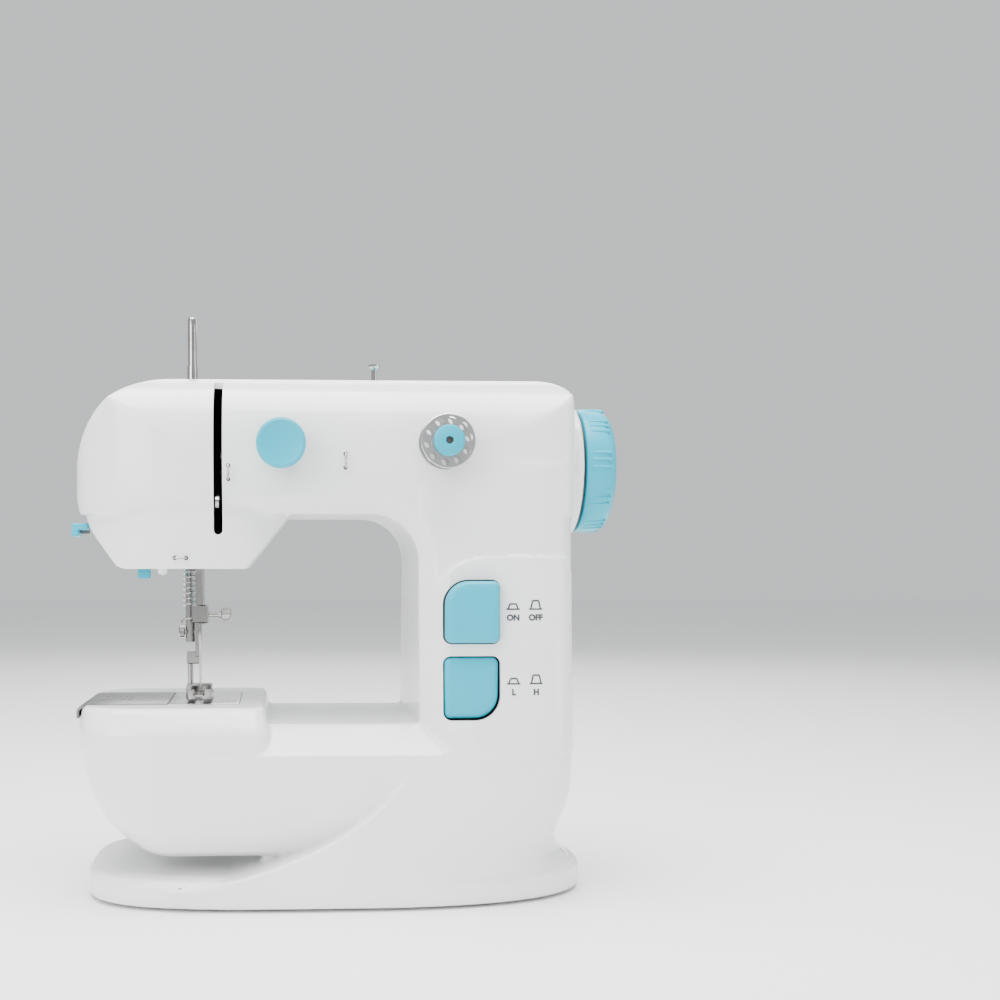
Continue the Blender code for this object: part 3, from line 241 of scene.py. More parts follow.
def from_rings(rings, name="ring_body"):
    """A closed solid through rings of (x, y, z) in millimetres, with flat ends."""
    shape = bmesh.new()
    made = [[shape.verts.new((x * MM, (y + CENTRE) * MM, z * MM)) for x, y, z in ring] for ring in rings]
    for low, high in zip(made, made[1:]):
        for i in range(len(low)):
            j = (i + 1) % len(low)
            shape.faces.new((low[i], low[j], high[j], high[i]))
    shape.faces.new(made[0])
    shape.faces.new(made[-1])
    bmesh.ops.recalc_face_normals(shape, faces=shape.faces)
    mesh = bpy.data.meshes.new(name)
    shape.to_mesh(mesh)
    shape.free()
    made_object = bpy.data.objects.new(name, mesh)
    bpy.context.scene.collection.objects.link(made_object)
    return made_object


def apply_modifier(piece, kind, **settings):
    """Add a modifier with these settings and apply it."""
    bpy.ops.object.select_all(action="DESELECT")
    bpy.context.view_layer.objects.active = piece
    piece.select_set(True)
    added = piece.modifiers.new(kind.lower(), kind)
    for key, value in settings.items():
        setattr(added, key, value)
    bpy.ops.object.modifier_apply(modifier=added.name)
    return piece


def curve_points(points, count):
    """Points along a cubic curve through its four control points."""
    found = []
    for i in range(count + 1):
        t = i / count
        w = ((1 - t) ** 3, 3 * t * (1 - t) ** 2, 3 * t * t * (1 - t), t ** 3)
        found.append(tuple(sum(k * p[axis] for k, p in zip(w, points)) for axis in (0, 1)))
    return found


def arc_points(x, y, radius, start, end, count):
    """Points along an arc round (x, y), between two angles in degrees."""
    found = []
    for i in range(count + 1):
        angle = math.radians(start + (end - start) * i / count)
        found.append((x + radius * math.cos(angle), y + radius * math.sin(angle)))
    return found


def plan(left, right, depth, left_power, right_power, middle, count=24):
    """A closed superellipse plan, from the left end round the front and back again."""
    front = []
    for i in range(2 * count + 1):
        angle = math.radians(90 * i / count)
        power = left_power if i <= count else right_power
        side = max(abs(math.cos(angle)), 0.0) ** (2 / power)
        out = max(math.sin(angle), 0.0) ** (2 / power)
        x = middle - (middle - left) * side if i <= count else middle + (right - middle) * side
        front.append((x, -depth * out))
    return front + [(x, -y) for x, y in reversed(front[1:-1])]


def stack(levels):
    """A solid lofted through plans at rising heights."""
    return from_rings([[(x, y, z) for x, y in ring] for z, ring in levels])


def prism(outline, low, high, plane):
    """A flat outline extruded along Y (XZ), along X (YZ) or along Z (XY)."""
    order = {"XZ": lambda u, v, w: (u, w, v), "YZ": lambda u, v, w: (w, u, v),
             "XY": lambda u, v, w: (u, v, w)}[plane]
    return from_rings([[order(u, v, w) for u, v in outline] for w in (low, high)])


def boolean(piece, other, operation):
    """Join or cut with another piece, which is used up."""
    apply_modifier(piece, "BOOLEAN", operation=operation, solver="EXACT", object=other)
    bpy.data.objects.remove(other, do_unlink=True)
    return piece


def throat_depth(z):
    """How far the column's face stands out beside the throat: straight at the arm, wider at the bed."""
    return ARM_DEPTH + max(0.0, min(1.0, (UNDER_ARM - z) / (UNDER_ARM - PLATFORM))) * 7.0


def front_depth(z):
    """The same face, swelling to the free arm's full width under the platform."""
    swell = max(0.0, min(1.0, (PLATFORM + 3 - z) / 9))
    return throat_depth(z) + swell * 5.0 + max(0.0, PLATFORM - 6 - z) * 0.012


def skirt_edge(z):
    """Where the skirt that wraps the free arm begins, at a height."""
    sweep = curve_points([(THROAT, PLATFORM - 4), (THROAT - 9, 30), (THROAT - 57, 12),
                          (THROAT - 97, RIM - 4)], 60)
    for (x1, z1), (x0, z0) in zip(sweep, sweep[1:]):
        if z0 <= z <= z1:
            return x0 + (x1 - x0) * (z - z0) / (z1 - z0)
    return THROAT if z > PLATFORM - 5 else THROAT - 97


def arm_block():
    """The arm: rounded end, crowned top and a soft shoulder over the column."""
    nose = [(NOSE + 3.0, UNDER_ARM)]
    nose += curve_points([(NOSE, UNDER_ARM + 8), (NOSE - 1.0, ARM_TOP - 29), (NOSE + 9.5, ARM_TOP - 1),
                          (NOSE + 46, ARM_TOP)], 28)
    shoulder = curve_points([(COLUMN - 20, ARM_TOP), (COLUMN - 8, ARM_TOP), (COLUMN - 1, ARM_TOP - 6),
                             (COLUMN, ARM_TOP - 15)], 14)
    block = prism(nose + shoulder + [(COLUMN, UNDER_ARM)], -60, 60, "XZ")
    front = [(-ARM_DEPTH + 0.8, UNDER_ARM), (-ARM_DEPTH, UNDER_ARM + 16)]
    front += curve_points([(-ARM_DEPTH, ARM_TOP - 31), (-ARM_DEPTH + 0.5, ARM_TOP - 8),
                           (-ARM_DEPTH + 13, ARM_TOP), (-1.5, ARM_TOP)], 18)
    boolean(block, prism(front + [(-y, z) for y, z in reversed(front)], -140, 140, "YZ"), "INTERSECT")
    around = plan(NOSE, COLUMN, ARM_DEPTH, 2.7, 9.0, NOSE + 52)
    return boolean(block, prism(around, UNDER_ARM - 30, ARM_TOP + 30, "XY"), "INTERSECT")


def column_block():
    """The column with the skirt that sweeps down round the free arm."""
    levels = []
    shoulder = THROAT + 8
    rows = [(RIM - 4, BASE_X + BASE_LONG - 3.2, BASE_X, 2.5),
            (RIM + 1.5, BASE_X + BASE_LONG - 4.6, BASE_X, 2.5), (RIM + 5, COLUMN - 1.4, BASE_X + 6, 2.6),
            (RIM + 10.5, COLUMN - 4, BASE_X + 12, 2.8), (RIM + 16, COLUMN - 3.4, BASE_X + 18, 3.1),
            (36, COLUMN - 1, shoulder - 10, 3.7), (43, COLUMN, shoulder - 4, 4.2),
            (52, COLUMN, shoulder, 4.6), (PLATFORM - 4, COLUMN, shoulder, 5.0),
            (100, COLUMN, shoulder, 5.0), (UNDER_ARM - 8, COLUMN, shoulder, 5.0),
            (UNDER_ARM + 20, COLUMN, shoulder, 6.0)]
    for z, right, middle, power in rows:
        depth = front_depth(z) - (0.3 if z > UNDER_ARM else 0.0)
        levels.append((z, plan(skirt_edge(z), right, min(depth, BASE_DEPTH - 0.4), 60, power, middle)))
    return stack(levels)


def panel_block():
    """The raised field round the buttons, with a ledge over it and a big round upper left corner."""
    low, high, left = PLATFORM - 11.3, UNDER_ARM - 16.4, THROAT + 4.6
    levels = []
    for step in range(15):
        z = low + (high + 2 - low) * step / 14
        depth = min(ARM_DEPTH + 5.4 + (high - z) * 0.087,
                    front_depth(z) + (4.0 if z > PLATFORM - 2 else -0.3))
        levels.append((z, plan(THROAT - 45.3, COLUMN + 0.13, depth, 60, 5.0, THROAT + 8)))
    outline = [(left + 4, low - 2), (COLUMN + 5, low - 2), (COLUMN + 5, high)]
    outline += arc_points(left + 21, high - 21, 21, 90, 180, 16)
    outline += [(left, PLATFORM + 14), (left - 1.6, PLATFORM + 6), (left - 2.6, PLATFORM - 2),
                (left - 0.6, PLATFORM - 12)]
    return boolean(stack(levels), prism(outline, -60, -34.3, "XZ"), "INTERSECT")


def throat_cutter():
    """The throat with its sides flared to make the chamfer all round."""
    rings = []
    for sign, reach, flare in ((-1, 14, 20), (-1, -6, 0), (1, -6, 0), (1, 14, 20)):
        corner = 18 + flare
        right, top, low = THROAT + flare, UNDER_ARM + flare, PLATFORM - flare
        outline = [(-200, low)] + arc_points(right - 3, low + 3, 3, 270, 360, 4)
        outline += arc_points(right - corner, top - corner, corner, 0, 90, 16) + [(-200, top)]
        rings.append([(x, sign * (throat_depth(z) + reach), z) for x, z in outline])
    return from_rings(rings)


def corner_fill():
    """The material left in the throat's upper right corner."""
    return prism([(THROAT - 19, UNDER_ARM + 2), (THROAT - 19, UNDER_ARM - 0.1),
                  (THROAT + 0.1, UNDER_ARM - 19), (THROAT + 2, UNDER_ARM - 19),
                  (THROAT + 2, UNDER_ARM + 2)], -ARM_DEPTH + 0.6, ARM_DEPTH - 0.6, "XZ")


def head_block():
    """The needle head under the arm, set back a little, with slanted sides."""
    right = NEEDLE[0] + 36.2
    left = NOSE
    side = [(right - 17, HEAD_BOTTOM), (right, UNDER_ARM), (right, UNDER_ARM + 8),
            (left + 6, UNDER_ARM + 8), (left + 3.2, UNDER_ARM + 4.0), (left + 7.2, UNDER_ARM - 5.5),
            (left + 18.6, HEAD_BOTTOM + 1.0), (left + 21.7, HEAD_BOTTOM)]
    block = prism(side, -60, 60, "XZ")
    around = plan(left + 2.6, right + 3, ARM_DEPTH - 1.8, 2.7, 3.2, left + 48)
    boolean(block, prism(around, HEAD_BOTTOM - 20, UNDER_ARM + 20, "XY"), "INTERSECT")
    return block


def bowl_block():
    """The rounded underside of the free arm."""
    rows = [(0.0, 27.5, 21.5), (0.7, 25.0, 17.5), (3.0, 21.8, 13.0), (6.5, 17.2, 10.2), (10.9, 12.6, 7.4),
            (17.0, 8.2, 4.4), (25.3, 4.6, 2.0), (34.0, 2.2, 0.6), (41.8, 0.9, 0.0), (46.0, 0.4, 0.0)]
    levels = [(BOWL + rise,
               plan(BED_LEFT + step, THROAT + 24, BED_DEPTH - narrow, 3.0 + rise / 46, 60, BED_LEFT + 42))
              for rise, step, narrow in rows]
    levels.append((PLATFORM, plan(BED_LEFT + 0.6, THROAT + 24, BED_DEPTH - 0.2, 4.0, 60, BED_LEFT + 42)))
    return stack(levels)


def bed_block():
    """The raised bed round the needle, with its step down towards the column."""
    end = NEEDLE[0] + 28.2
    rows = [(BOWL + 43, 0.4, 0.4, 0.0), (BED_TOP - 9, 0.0, 0.8, 0.0), (BED_TOP - 7.2, 0.1, 1.8, 0.4),
            (BED_TOP - 1.2, 0.9, 6.0, 1.8), (BED_TOP, 2.0, 7.4, 2.6)]
    return stack([(z, plan(BED_LEFT + step, end - slope, BED_DEPTH - narrow, 4.0, 14, BED_LEFT + 42))
                  for z, step, narrow, slope in rows])


def base_block():
    """The flat oval base."""
    rows = [(1.0, 1.4), (2.0, 0.4), (3.5, 0.0), (RIM - 2.5, 0.0), (RIM - 1.0, 0.5), (RIM, 2.0),
            (RIM + 0.5, 8.0)]
    return stack([(z, plan(BASE_X - BASE_LONG + shrink, BASE_X + BASE_LONG - shrink, BASE_DEPTH - shrink,
                           3.6, 2.5, BASE_X)) for z, shrink in rows])


def fused_body():
    """All the blocks fused to one smooth skin, with the boss behind the handwheel."""
    skin = arm_block()
    boolean(skin, column_block(), "UNION")
    boolean(skin, corner_fill(), "UNION")
    boolean(skin, panel_block(), "UNION")
    boolean(skin, bowl_block(), "UNION")
    boolean(skin, throat_cutter(), "DIFFERENCE")
    for block in (head_block(), bed_block(), base_block()):
        boolean(skin, block, "UNION")
    wheel_low, wheel_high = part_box("handwheel")
    axis_z = (wheel_low.z + wheel_high.z) / 2
    boss_radius = 26.0
    bpy.ops.mesh.primitive_cylinder_add(vertices=96, radius=boss_radius * MM, depth=10 * MM,
                                        location=((COLUMN - 0.9) * MM, MIDDLE_Y, axis_z),
                                        rotation=(0, math.pi / 2, 0))
    boolean(skin, bpy.context.object, "UNION")
    skin.data.remesh_voxel_size = SKIN_VOXEL * MM
    skin.data.remesh_voxel_adaptivity = 0.0
    bpy.ops.object.select_all(action="DESELECT")
    bpy.context.view_layer.objects.active = skin
    skin.select_set(True)
    bpy.ops.object.voxel_remesh()
    apply_modifier(skin, "SMOOTH", factor=0.5, iterations=3)
    return skin


def key_outline(which, grow):
    """A button's outline with its one large corner, from the CAD button's own box."""
    low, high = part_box(f"{which}_button")
    x0, z0, x1, z1 = low.x / MM - grow, low.z / MM - grow, high.x / MM + grow, high.z / MM + grow
    small, large = max(2.5 + grow, 0.4), 9.0 + grow
    a, b, c, d = (small, small, small, large) if which == "power" else (small, large, small, small)
    return (arc_points(x0 + a, z0 + a, a, 180, 270, 10) + arc_points(x1 - b, z0 + b, b, 270, 360, 10)
            + arc_points(x1 - c, z1 - c, c, 0, 90, 10) + arc_points(x0 + d, z1 - d, d, 90, 180, 10))


def middle_of(node):
    """The middle of a CAD node's box, in millimetres."""
    low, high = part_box(node)
    return tuple((a + b) / 2 / MM for a, b in zip(low, high))


def drill(start, end, radius, sides=32):
    """A round cutter between two points in millimetres, in the housing's own frame."""
    a, b = Vector(start) * MM, Vector(end) * MM
    bpy.ops.mesh.primitive_cylinder_add(vertices=sides, radius=radius * MM, depth=(b - a).length,
                                        location=(a + b) / 2)
    made = bpy.context.object
    made.rotation_mode = "QUATERNION"
    made.rotation_quaternion = Vector((0, 0, 1)).rotation_difference((b - a).normalized())
    return made


def block_cutter(low, high):
    """A plain block between two corners in millimetres."""
    size = [(b - a) * MM for a, b in zip(low, high)]
    bpy.ops.mesh.primitive_cube_add(size=1, location=[(a + b) / 2 * MM for a, b in zip(low, high)])
    made = bpy.context.object
    made.scale = size
    bpy.ops.object.transform_apply(location=False, rotation=False, scale=True)
    return made


def openings():
    """Cutters for the slot, buttons, posts, bars, lamp, sockets, screws and plate recess."""
    slot_x = middle_of("take_up_lever")[0]
    face = CENTRE - ARM_DEPTH
    half = 1.7
    slot = (arc_points(slot_x, UNDER_ARM - 6.4, half, 180, 360, 12)
            + [(slot_x + half, ARM_TOP + 5), (slot_x - half, ARM_TOP + 5)])
    cutters = [prism(slot, -ARM_DEPTH - 10, -ARM_DEPTH + 16, "XZ")]
    for which in ("power", "speed"):
        cutters.append(prism(key_outline(which, 0.55), -BASE_DEPTH - 6, -BASE_DEPTH + 16, "XZ"))
    for node, radius in (("tension_post", 2.8), ("winder_spindle", 3.6)):
        x, _, z = middle_of(node)
        cutters.append(drill((x, face - 12, z), (x, face + 12, z), radius))
    for node, radius in (("spool_pin", 2.5), ("top_guide_post", 1.6)):
        x, y, _ = middle_of(node)
        cutters.append(drill((x, y, ARM_TOP - 8), (x, y, ARM_TOP + 8), radius))
    x, y, _ = middle_of("presser_spring")
    cutters.append(drill((x, y, HEAD_BOTTOM - 6), (x, y, HEAD_BOTTOM + 6), 3.6))
    cutters.append(drill((*NEEDLE, HEAD_BOTTOM - 6.3), (*NEEDLE, HEAD_BOTTOM + 6.3), 3.3))
    x, y, _ = middle_of("lamp")
    cutters.append(drill((x, y, HEAD_BOTTOM - 6), (x, y, HEAD_BOTTOM + 6), 2.3))
    x, y, _ = middle_of("light_switch")
    cutters.append(block_cutter((x - 5, y - 2.5, HEAD_BOTTOM - 6), (x + 5, y + 2.5, HEAD_BOTTOM + 6)))
    low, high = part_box("needle_plate")
    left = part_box("slide_plate")[0].x / MM
    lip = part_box("slide_plate")[0].z / MM - 0.4
    cutters.append(block_cutter((left - 6, low.y / MM - 0.35, lip),
                                (left + 1.4, high.y / MM + 0.35, BED_TOP - 1.6)))
    cutters.append(block_cutter((left - 6, low.y / MM - 0.3, BED_TOP - 1.5),
                                (high.x / MM + 0.3, high.y / MM + 0.3, BED_TOP + 6)))
    cutters.append(block_cutter((left + 8, low.y / MM + 3, BED_TOP - 12),
                                (high.x / MM - 3, high.y / MM - 3, BED_TOP - 1)))
    low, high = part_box("presser_lifter")
    x, z = (low.x + high.x) / 2 / MM, high.z / MM - 4.4
    cutters.append(drill((x, CENTRE + 28, z), (x, CENTRE + 60, z), 2.9))
    low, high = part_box("jack_panel")
    for x in (low.x / MM + 6, high.x / MM - 6):
        cutters.append(drill((x, CENTRE + 36, (low.z + high.z) / 2 / MM),
                             (x, CENTRE + 60, (low.z + high.z) / 2 / MM), 4.4))
    for number in (1, 2, 3, 4):
        x, _, z = middle_of(f"case_screw_{number}")
        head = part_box(f"case_screw_{number}")[1].y / MM
        cutters.append(drill((x, head - 3, z), (x, head + 40, z), 3.5))
    return cutters


# The shell's inner walls get a near-black colour as painted shade: the real inside is white but unlit, and
# this colour stands for its shadow seen through the slot, the seam and the openings.
INSIDE_PAINTED_SHADE = finish("shell_inside_painted_shade", (0.03, 0.03, 0.032), (0.04, 0.04, 0.04), (0.6, 0.7), 0.1)
body_skin = fused_body()
core = body_skin.copy()
core.data = body_skin.data.copy()
bpy.context.scene.collection.objects.link(core)
apply_modifier(core, "DISPLACE", strength=-WALL * MM, mid_level=0.0)
core.data.remesh_voxel_size = CORE_VOXEL * MM
bpy.ops.object.voxel_remesh()
bpy.ops.object.select_all(action="DESELECT")
core.select_set(True)
bpy.ops.object.mode_set(mode="EDIT")
bpy.ops.mesh.select_all(action="SELECT")
bpy.ops.mesh.separate(type="LOOSE")
bpy.ops.object.mode_set(mode="OBJECT")
pockets = sorted(bpy.context.selected_objects, key=lambda piece: len(piece.data.vertices))
core = pockets.pop()
for pocket in pockets:
    bpy.data.objects.remove(pocket, do_unlink=True)
rim = 4.0
well_plan = plan(BASE_X - BASE_LONG + rim, BASE_X + BASE_LONG - rim, BASE_DEPTH - rim, 3.6, 2.5, BASE_X)
well = stack([(z, well_plan) for z in (-5, 8)])
boolean(core, well, "UNION")
body_skin.data.materials.clear()
core.data.materials.clear()
for material in (WHITE, INSIDE_PAINTED_SHADE):
    body_skin.data.materials.append(material)
    core.data.materials.append(material)
# The core's faces become the shell's inner walls and take the painted-shade inside colour.
for face in core.data.polygons:
    face.material_index = 1
apply_modifier(body_skin, "BOOLEAN", operation="DIFFERENCE", solver="MANIFOLD", object=core)
bpy.data.objects.remove(core, do_unlink=True)

halves = []
for side, name in ((-1, "front_shell"), (1, "rear_shell")):
    half = body_skin.copy()
    half.data = body_skin.data.copy()
    bpy.context.scene.collection.objects.link(half)
    edge = CENTRE + side * SEAM / 2
    away = block_cutter((-150, edge if side < 0 else -150, -20), (150, 150 if side < 0 else edge, 300))
    apply_modifier(half, "BOOLEAN", operation="DIFFERENCE", solver="MANIFOLD", object=away)
    bpy.data.objects.remove(away, do_unlink=True)
    halves.append((half, name))
bpy.data.objects.remove(body_skin, do_unlink=True)
for cutter in openings():
    for half, _ in halves:
        apply_modifier(half, "BOOLEAN", operation="DIFFERENCE", solver="MANIFOLD", object=cutter)
    bpy.data.objects.remove(cutter, do_unlink=True)
for half, name in halves:
    bpy.ops.object.select_all(action="DESELECT")
    bpy.context.view_layer.objects.active = half
    half.select_set(True)
    bpy.ops.object.shade_smooth_by_angle(angle=math.radians(50))
    half.name = f"{name}_moulding"
    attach(half, "housing")
    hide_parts(name)


# Handwheel: one teal ABS turning pressed on the shaft, smooth towards the machine, with groups of
# three grip ridges round its outer part and a shallow dished face.
TEAL = finish("gloss_teal_abs", (0.0, 0.375, 0.50), (0.0, 0.345, 0.47), (0.32, 0.42), 0.04, shine=0.3)
BLACK = finish("black_moulding", (0.012, 0.012, 0.013), (0.02, 0.02, 0.02), (0.45, 0.6), 0.1)


def settle(piece, name, material, body, slot, *nodes, smooth=30.0):
    """Name a finished piece, shade it, and say what it rides on and which nodes it stands for."""
    bpy.ops.object.select_all(action="DESELECT")
    bpy.context.view_layer.objects.active = piece
    piece.select_set(True)
    piece.name = name
    bpy.ops.object.transform_apply(location=True, rotation=True, scale=True)
    bpy.ops.object.shade_smooth_by_angle(angle=math.radians(smooth))
    piece.data.materials.clear()
    piece.data.materials.append(material)
    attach(piece, body)
    if nodes:
        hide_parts(*nodes)
    piece.select_set(False)
    return piece


def turned(profile, place, axis, sides=96):
    """A body of revolution: a profile of (distance along the axis, radius), spun about the axis."""
    shape = bmesh.new()
    points = [shape.verts.new((r * MM, 0, along * MM)) for along, r in profile]
    edges = [shape.edges.new(pair) for pair in zip(points, points[1:])]
    bmesh.ops.spin(shape, geom=points + edges, cent=(0, 0, 0), axis=(0, 0, 1), angle=math.tau, steps=sides,
                   use_merge=True)
    bmesh.ops.remove_doubles(shape, verts=shape.verts, dist=0.002 * MM)
    bmesh.ops.recalc_face_normals(shape, faces=shape.faces)
    mesh = bpy.data.meshes.new("turned")
    shape.to_mesh(mesh)
    shape.free()
    piece = bpy.data.objects.new("turned", mesh)
    bpy.context.scene.collection.objects.link(piece)
    turn = {"X": (0, math.pi / 2, 0), "Y": (math.pi / 2, 0, 0), "Z": (0, 0, 0)}[axis]
    piece.rotation_euler = turn
    piece.location = [value * MM for value in place]
    return piece


def joined(pieces):
    """Several pieces made one object."""
    bpy.ops.object.select_all(action="DESELECT")
    for piece in pieces:
        piece.select_set(True)
    bpy.context.view_layer.objects.active = pieces[0]
    bpy.ops.object.join()
    return bpy.context.object


def rounded_block(low, high, edge=0.3, steps=3):
    """A block between two corners in millimetres with all its edges rounded."""
    made = block_cutter(low, high)
    return apply_modifier(made, "BEVEL", width=edge * MM, segments=steps, limit_method="ANGLE")


wheel_low, wheel_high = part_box("handwheel")
wheel_z = (wheel_low.z + wheel_high.z) / 2 / MM
wheel_left = wheel_low.x / MM
wheel = turned([(2.0, 0), (2.0, 21.5), (2.2, 23.8), (2.8, 24.8), (3.6, 25.1), (4.6, 25.1), (10.6, 24.8),
                (12.4, 24.1), (13.9, 22.9), (15.0, 21.2), (15.5, 19.4), (15.6, 18.2), (15.2, 17.2),
                (14.6, 16.6), (14.4, 5.6), (14.7, 5.0), (15.1, 4.4), (15.2, 0)],
                (wheel_left, CENTRE, wheel_z), "X", 120)
ridges = []
ridge_circle = 24.2
for group in range(10):
    for step in (-1, 0, 1):
        angle = math.radians(group * 36 + step * 6.6 + 11)
        bpy.ops.mesh.primitive_cube_add(size=1)
        ridge = bpy.context.object
        ridge.scale = (8.4 * MM, 1.5 * MM, 2.2 * MM)
        bpy.ops.object.transform_apply(location=False, rotation=False, scale=True)
        apply_modifier(ridge, "BEVEL", width=0.7 * MM, segments=4, limit_method="ANGLE")
        ridge.rotation_euler = (angle, 0, 0)
        ridge.location = ((wheel_left + 8.6) * MM, (CENTRE - ridge_circle * math.sin(angle)) * MM,
                          (wheel_z + ridge_circle * math.cos(angle)) * MM)
        ridges.append(ridge)
settle(joined([wheel] + ridges), "handwheel_turning", TEAL, "main_shaft", "teal", "handwheel", smooth=32)
# A thin black ring in the gap between the boss and the wheel: painted shade, standing for the shadow in
# that gap.
gap_shade_ring = turned([(0, 5.4), (0, 24.6), (1.0, 24.6), (1.0, 5.4), (0, 5.4)],
                (wheel_left + 0.8, CENTRE, wheel_z), "X", 96)
settle(gap_shade_ring, "handwheel_gap_shade_ring", BLACK, "housing", "black")


# Tension dial: a teal ABS knob over the discs and spring, dished a little, with a fine bead round
# its face, screwed on the tension post.
x, _, z = middle_of("tension_knob")
front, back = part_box("tension_knob")[0].y / MM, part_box("tension_knob")[1].y / MM
deep = back - front
dial = turned([(0, 0), (0, 5.0), (0.4, 5.6), (0.4, 8.6), (0.9, 9.25), (1.6, 9.3), (deep - 1.0, 9.3),
               (deep - 0.4, 9.0), (deep, 8.3), (deep - 0.15, 7.6), (deep - 0.35, 7.2), (deep - 0.45, 0)],
               (x, back, z), "Y", 96)
settle(dial, "tension_dial", TEAL, "tension_knob", "teal", "tension_knob", smooth=30)


# Bobbin on the winder: a pressed steel class 15 bobbin, two flanges with ten round holes on a
# tube, held on the winder spindle by a teal push-on cap with a black plug in its middle.
SATIN = finish("satin_plate", (0.52, 0.52, 0.52), (0.42, 0.42, 0.42), (0.26, 0.38), 0.12, metal=1.0,
               mottle_scale=140.0, grain_scale=2200.0, stretch=0.05)
x, _, z = middle_of("bobbin")
low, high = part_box("bobbin")
front, back = low.y / MM, high.y / MM
reel = turned([(0, 3.1), (0, 9.9), (0.25, 10.2), (0.6, 10.2), (0.85, 9.9), (0.9, 5.4),
               (back - front - 0.9, 5.4), (back - front - 0.85, 9.9), (back - front - 0.6, 10.2),
               (back - front - 0.25, 10.2), (back - front, 9.9), (back - front, 3.1), (0, 3.1)],
               (x, back, z), "Y", 80)
holes = []
hole_circle = 7.75
for number in range(10):
    angle = math.radians(36 * number + 9)
    at = (x + hole_circle * math.cos(angle), z + hole_circle * math.sin(angle))
    holes.append(drill((at[0], front - 2, at[1]), (at[0], back + 2, at[1]), 1.5, 20))
boolean(reel, joined(holes), "DIFFERENCE")
settle(reel, "bobbin_pressing", SATIN, "winder", "steel", "bobbin", smooth=32)
x, _, z = middle_of("winder_cap")
low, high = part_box("winder_cap")
radius, deep = (high.x - low.x) / 2 / MM, (high.y - low.y) / MM
cap = turned([(0, 0), (0, radius - 0.2), (0.2, radius), (deep - 0.9, radius), (deep - 0.35, radius - 0.3),
              (deep, radius - 1.0), (deep, 1.7), (deep - 0.3, 1.4), (deep - 1.6, 1.35), (deep - 1.6, 0)],
              (x, high.y / MM, z), "Y", 64)
settle(cap, "winder_cap_moulding", TEAL, "winder", "teal", "winder_cap", smooth=30)
plug = turned([(0, 0), (0, 1.3), (0.9, 1.3), (1.0, 1.1), (1.0, 0)],
              (x, high.y / MM - deep + 1.5, z), "Y", 32)
settle(plug, "winder_cap_plug", BLACK, "winder", "black")


# Power and speed keys: teal ABS push keys with one large corner each, softly rounded to a low
# crown, standing in a clearance gap in the raised field, with a black sheet behind it as painted shade.
for which in ("power", "speed"):
    low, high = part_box(f"{which}_button")
    rings = []
    for inset, out in ((0.0, high.y / MM - 0.2), (0.0, low.y / MM + 2.3), (0.12, low.y / MM + 1.5),
                       (0.5, low.y / MM + 0.85), (1.1, low.y / MM + 0.4), (1.9, low.y / MM + 0.15),
                       (3.2, low.y / MM + 0.02)):
        rings.append([(u, out - CENTRE, v) for u, v in key_outline(which, -inset)])
    key = from_rings(rings)
    settle(key, f"{which}_key", TEAL, f"{which}_button", "teal", f"{which}_button", smooth=40)
    # A thin black sheet behind each key, seen through its clearance gap: painted shade for the dark in the
    # gap.
    well = from_rings([[(u, low.y / MM + out - CENTRE, v) for u, v in key_outline(which, 0.5)]
                       for out in (5.0, 5.4)])
    settle(well, f"{which}_key_gap_painted_shade", BLACK, "housing", "black")


# Key legends: small black prints beside each key, a raised and a sunk outline with ON, OFF, L and
# H, laid on the front moulding.
INK = finish("printed_ink", (0.03, 0.035, 0.04), (0.05, 0.055, 0.06), (0.5, 0.6), 0.02)


def front_at(x, z):
    """Where the front moulding's face is, straight behind a point in millimetres."""
    hit, place, _, _ = front_half.ray_cast(Vector((x, -90, z)) * MM, Vector((0, 1, 0)), distance=0.2)
    return place.y if hit else (CENTRE - 47) * MM


def print_on_front(piece):
    """Lay a flat print on the front moulding's face."""
    for point in piece.data.vertices:
        point.co.y = front_at(point.co.x / MM, point.co.z / MM) - 0.11 * MM


def legend(text, x, z, size):
    """One word of print, standing up to face the front."""
    bpy.ops.object.text_add(location=(x * MM, 0, z * MM), rotation=(math.pi / 2, 0, 0))
    label = bpy.context.object
    label.data.body = text
    label.data.size = size * MM
    label.data.align_x = "CENTER"
    label.data.align_y = "CENTER"
    label.data.offset = 0.17 * MM
    bpy.ops.object.select_all(action="DESELECT")
    bpy.context.view_layer.objects.active = label
    label.select_set(True)
    bpy.ops.object.convert(target="MESH")
    return bpy.context.object


def key_mark(x, z, wide, tall, raised):
    """A key drawn from the side: a line with a tall or a low hat on it."""
    slope = 0.22 * tall
    line = 0.5
    hat = [(-wide * 0.36, 0), (-wide * 0.36 + slope, tall if raised else tall * 0.6),
           (wide * 0.36 - slope, tall if raised else tall * 0.6), (wide * 0.36, 0)]
    parts = [[(-wide / 2, -line), (wide / 2, -line), (wide / 2, line * 0.2), (-wide / 2, line * 0.2)]]
    for (u0, v0), (u1, v1) in zip(hat, hat[1:]):
        length = math.hypot(u1 - u0, v1 - v0)
        nu, nv = -(v1 - v0) / length * line / 1.6, (u1 - u0) / length * line / 1.6
        parts.append([(u0 - nu, v0 - nv), (u1 - nu, v1 - nv), (u1 + nu, v1 + nv), (u0 + nu, v0 + nv)])
    shape = bmesh.new()
    for part in parts:
        shape.faces.new([shape.verts.new(((x + u) * MM, 0, (z + v) * MM)) for u, v in part])
    mesh = bpy.data.meshes.new("key_mark")
    shape.to_mesh(mesh)
    shape.free()
    made = bpy.data.objects.new("key_mark", mesh)
    bpy.context.scene.collection.objects.link(made)
    return made


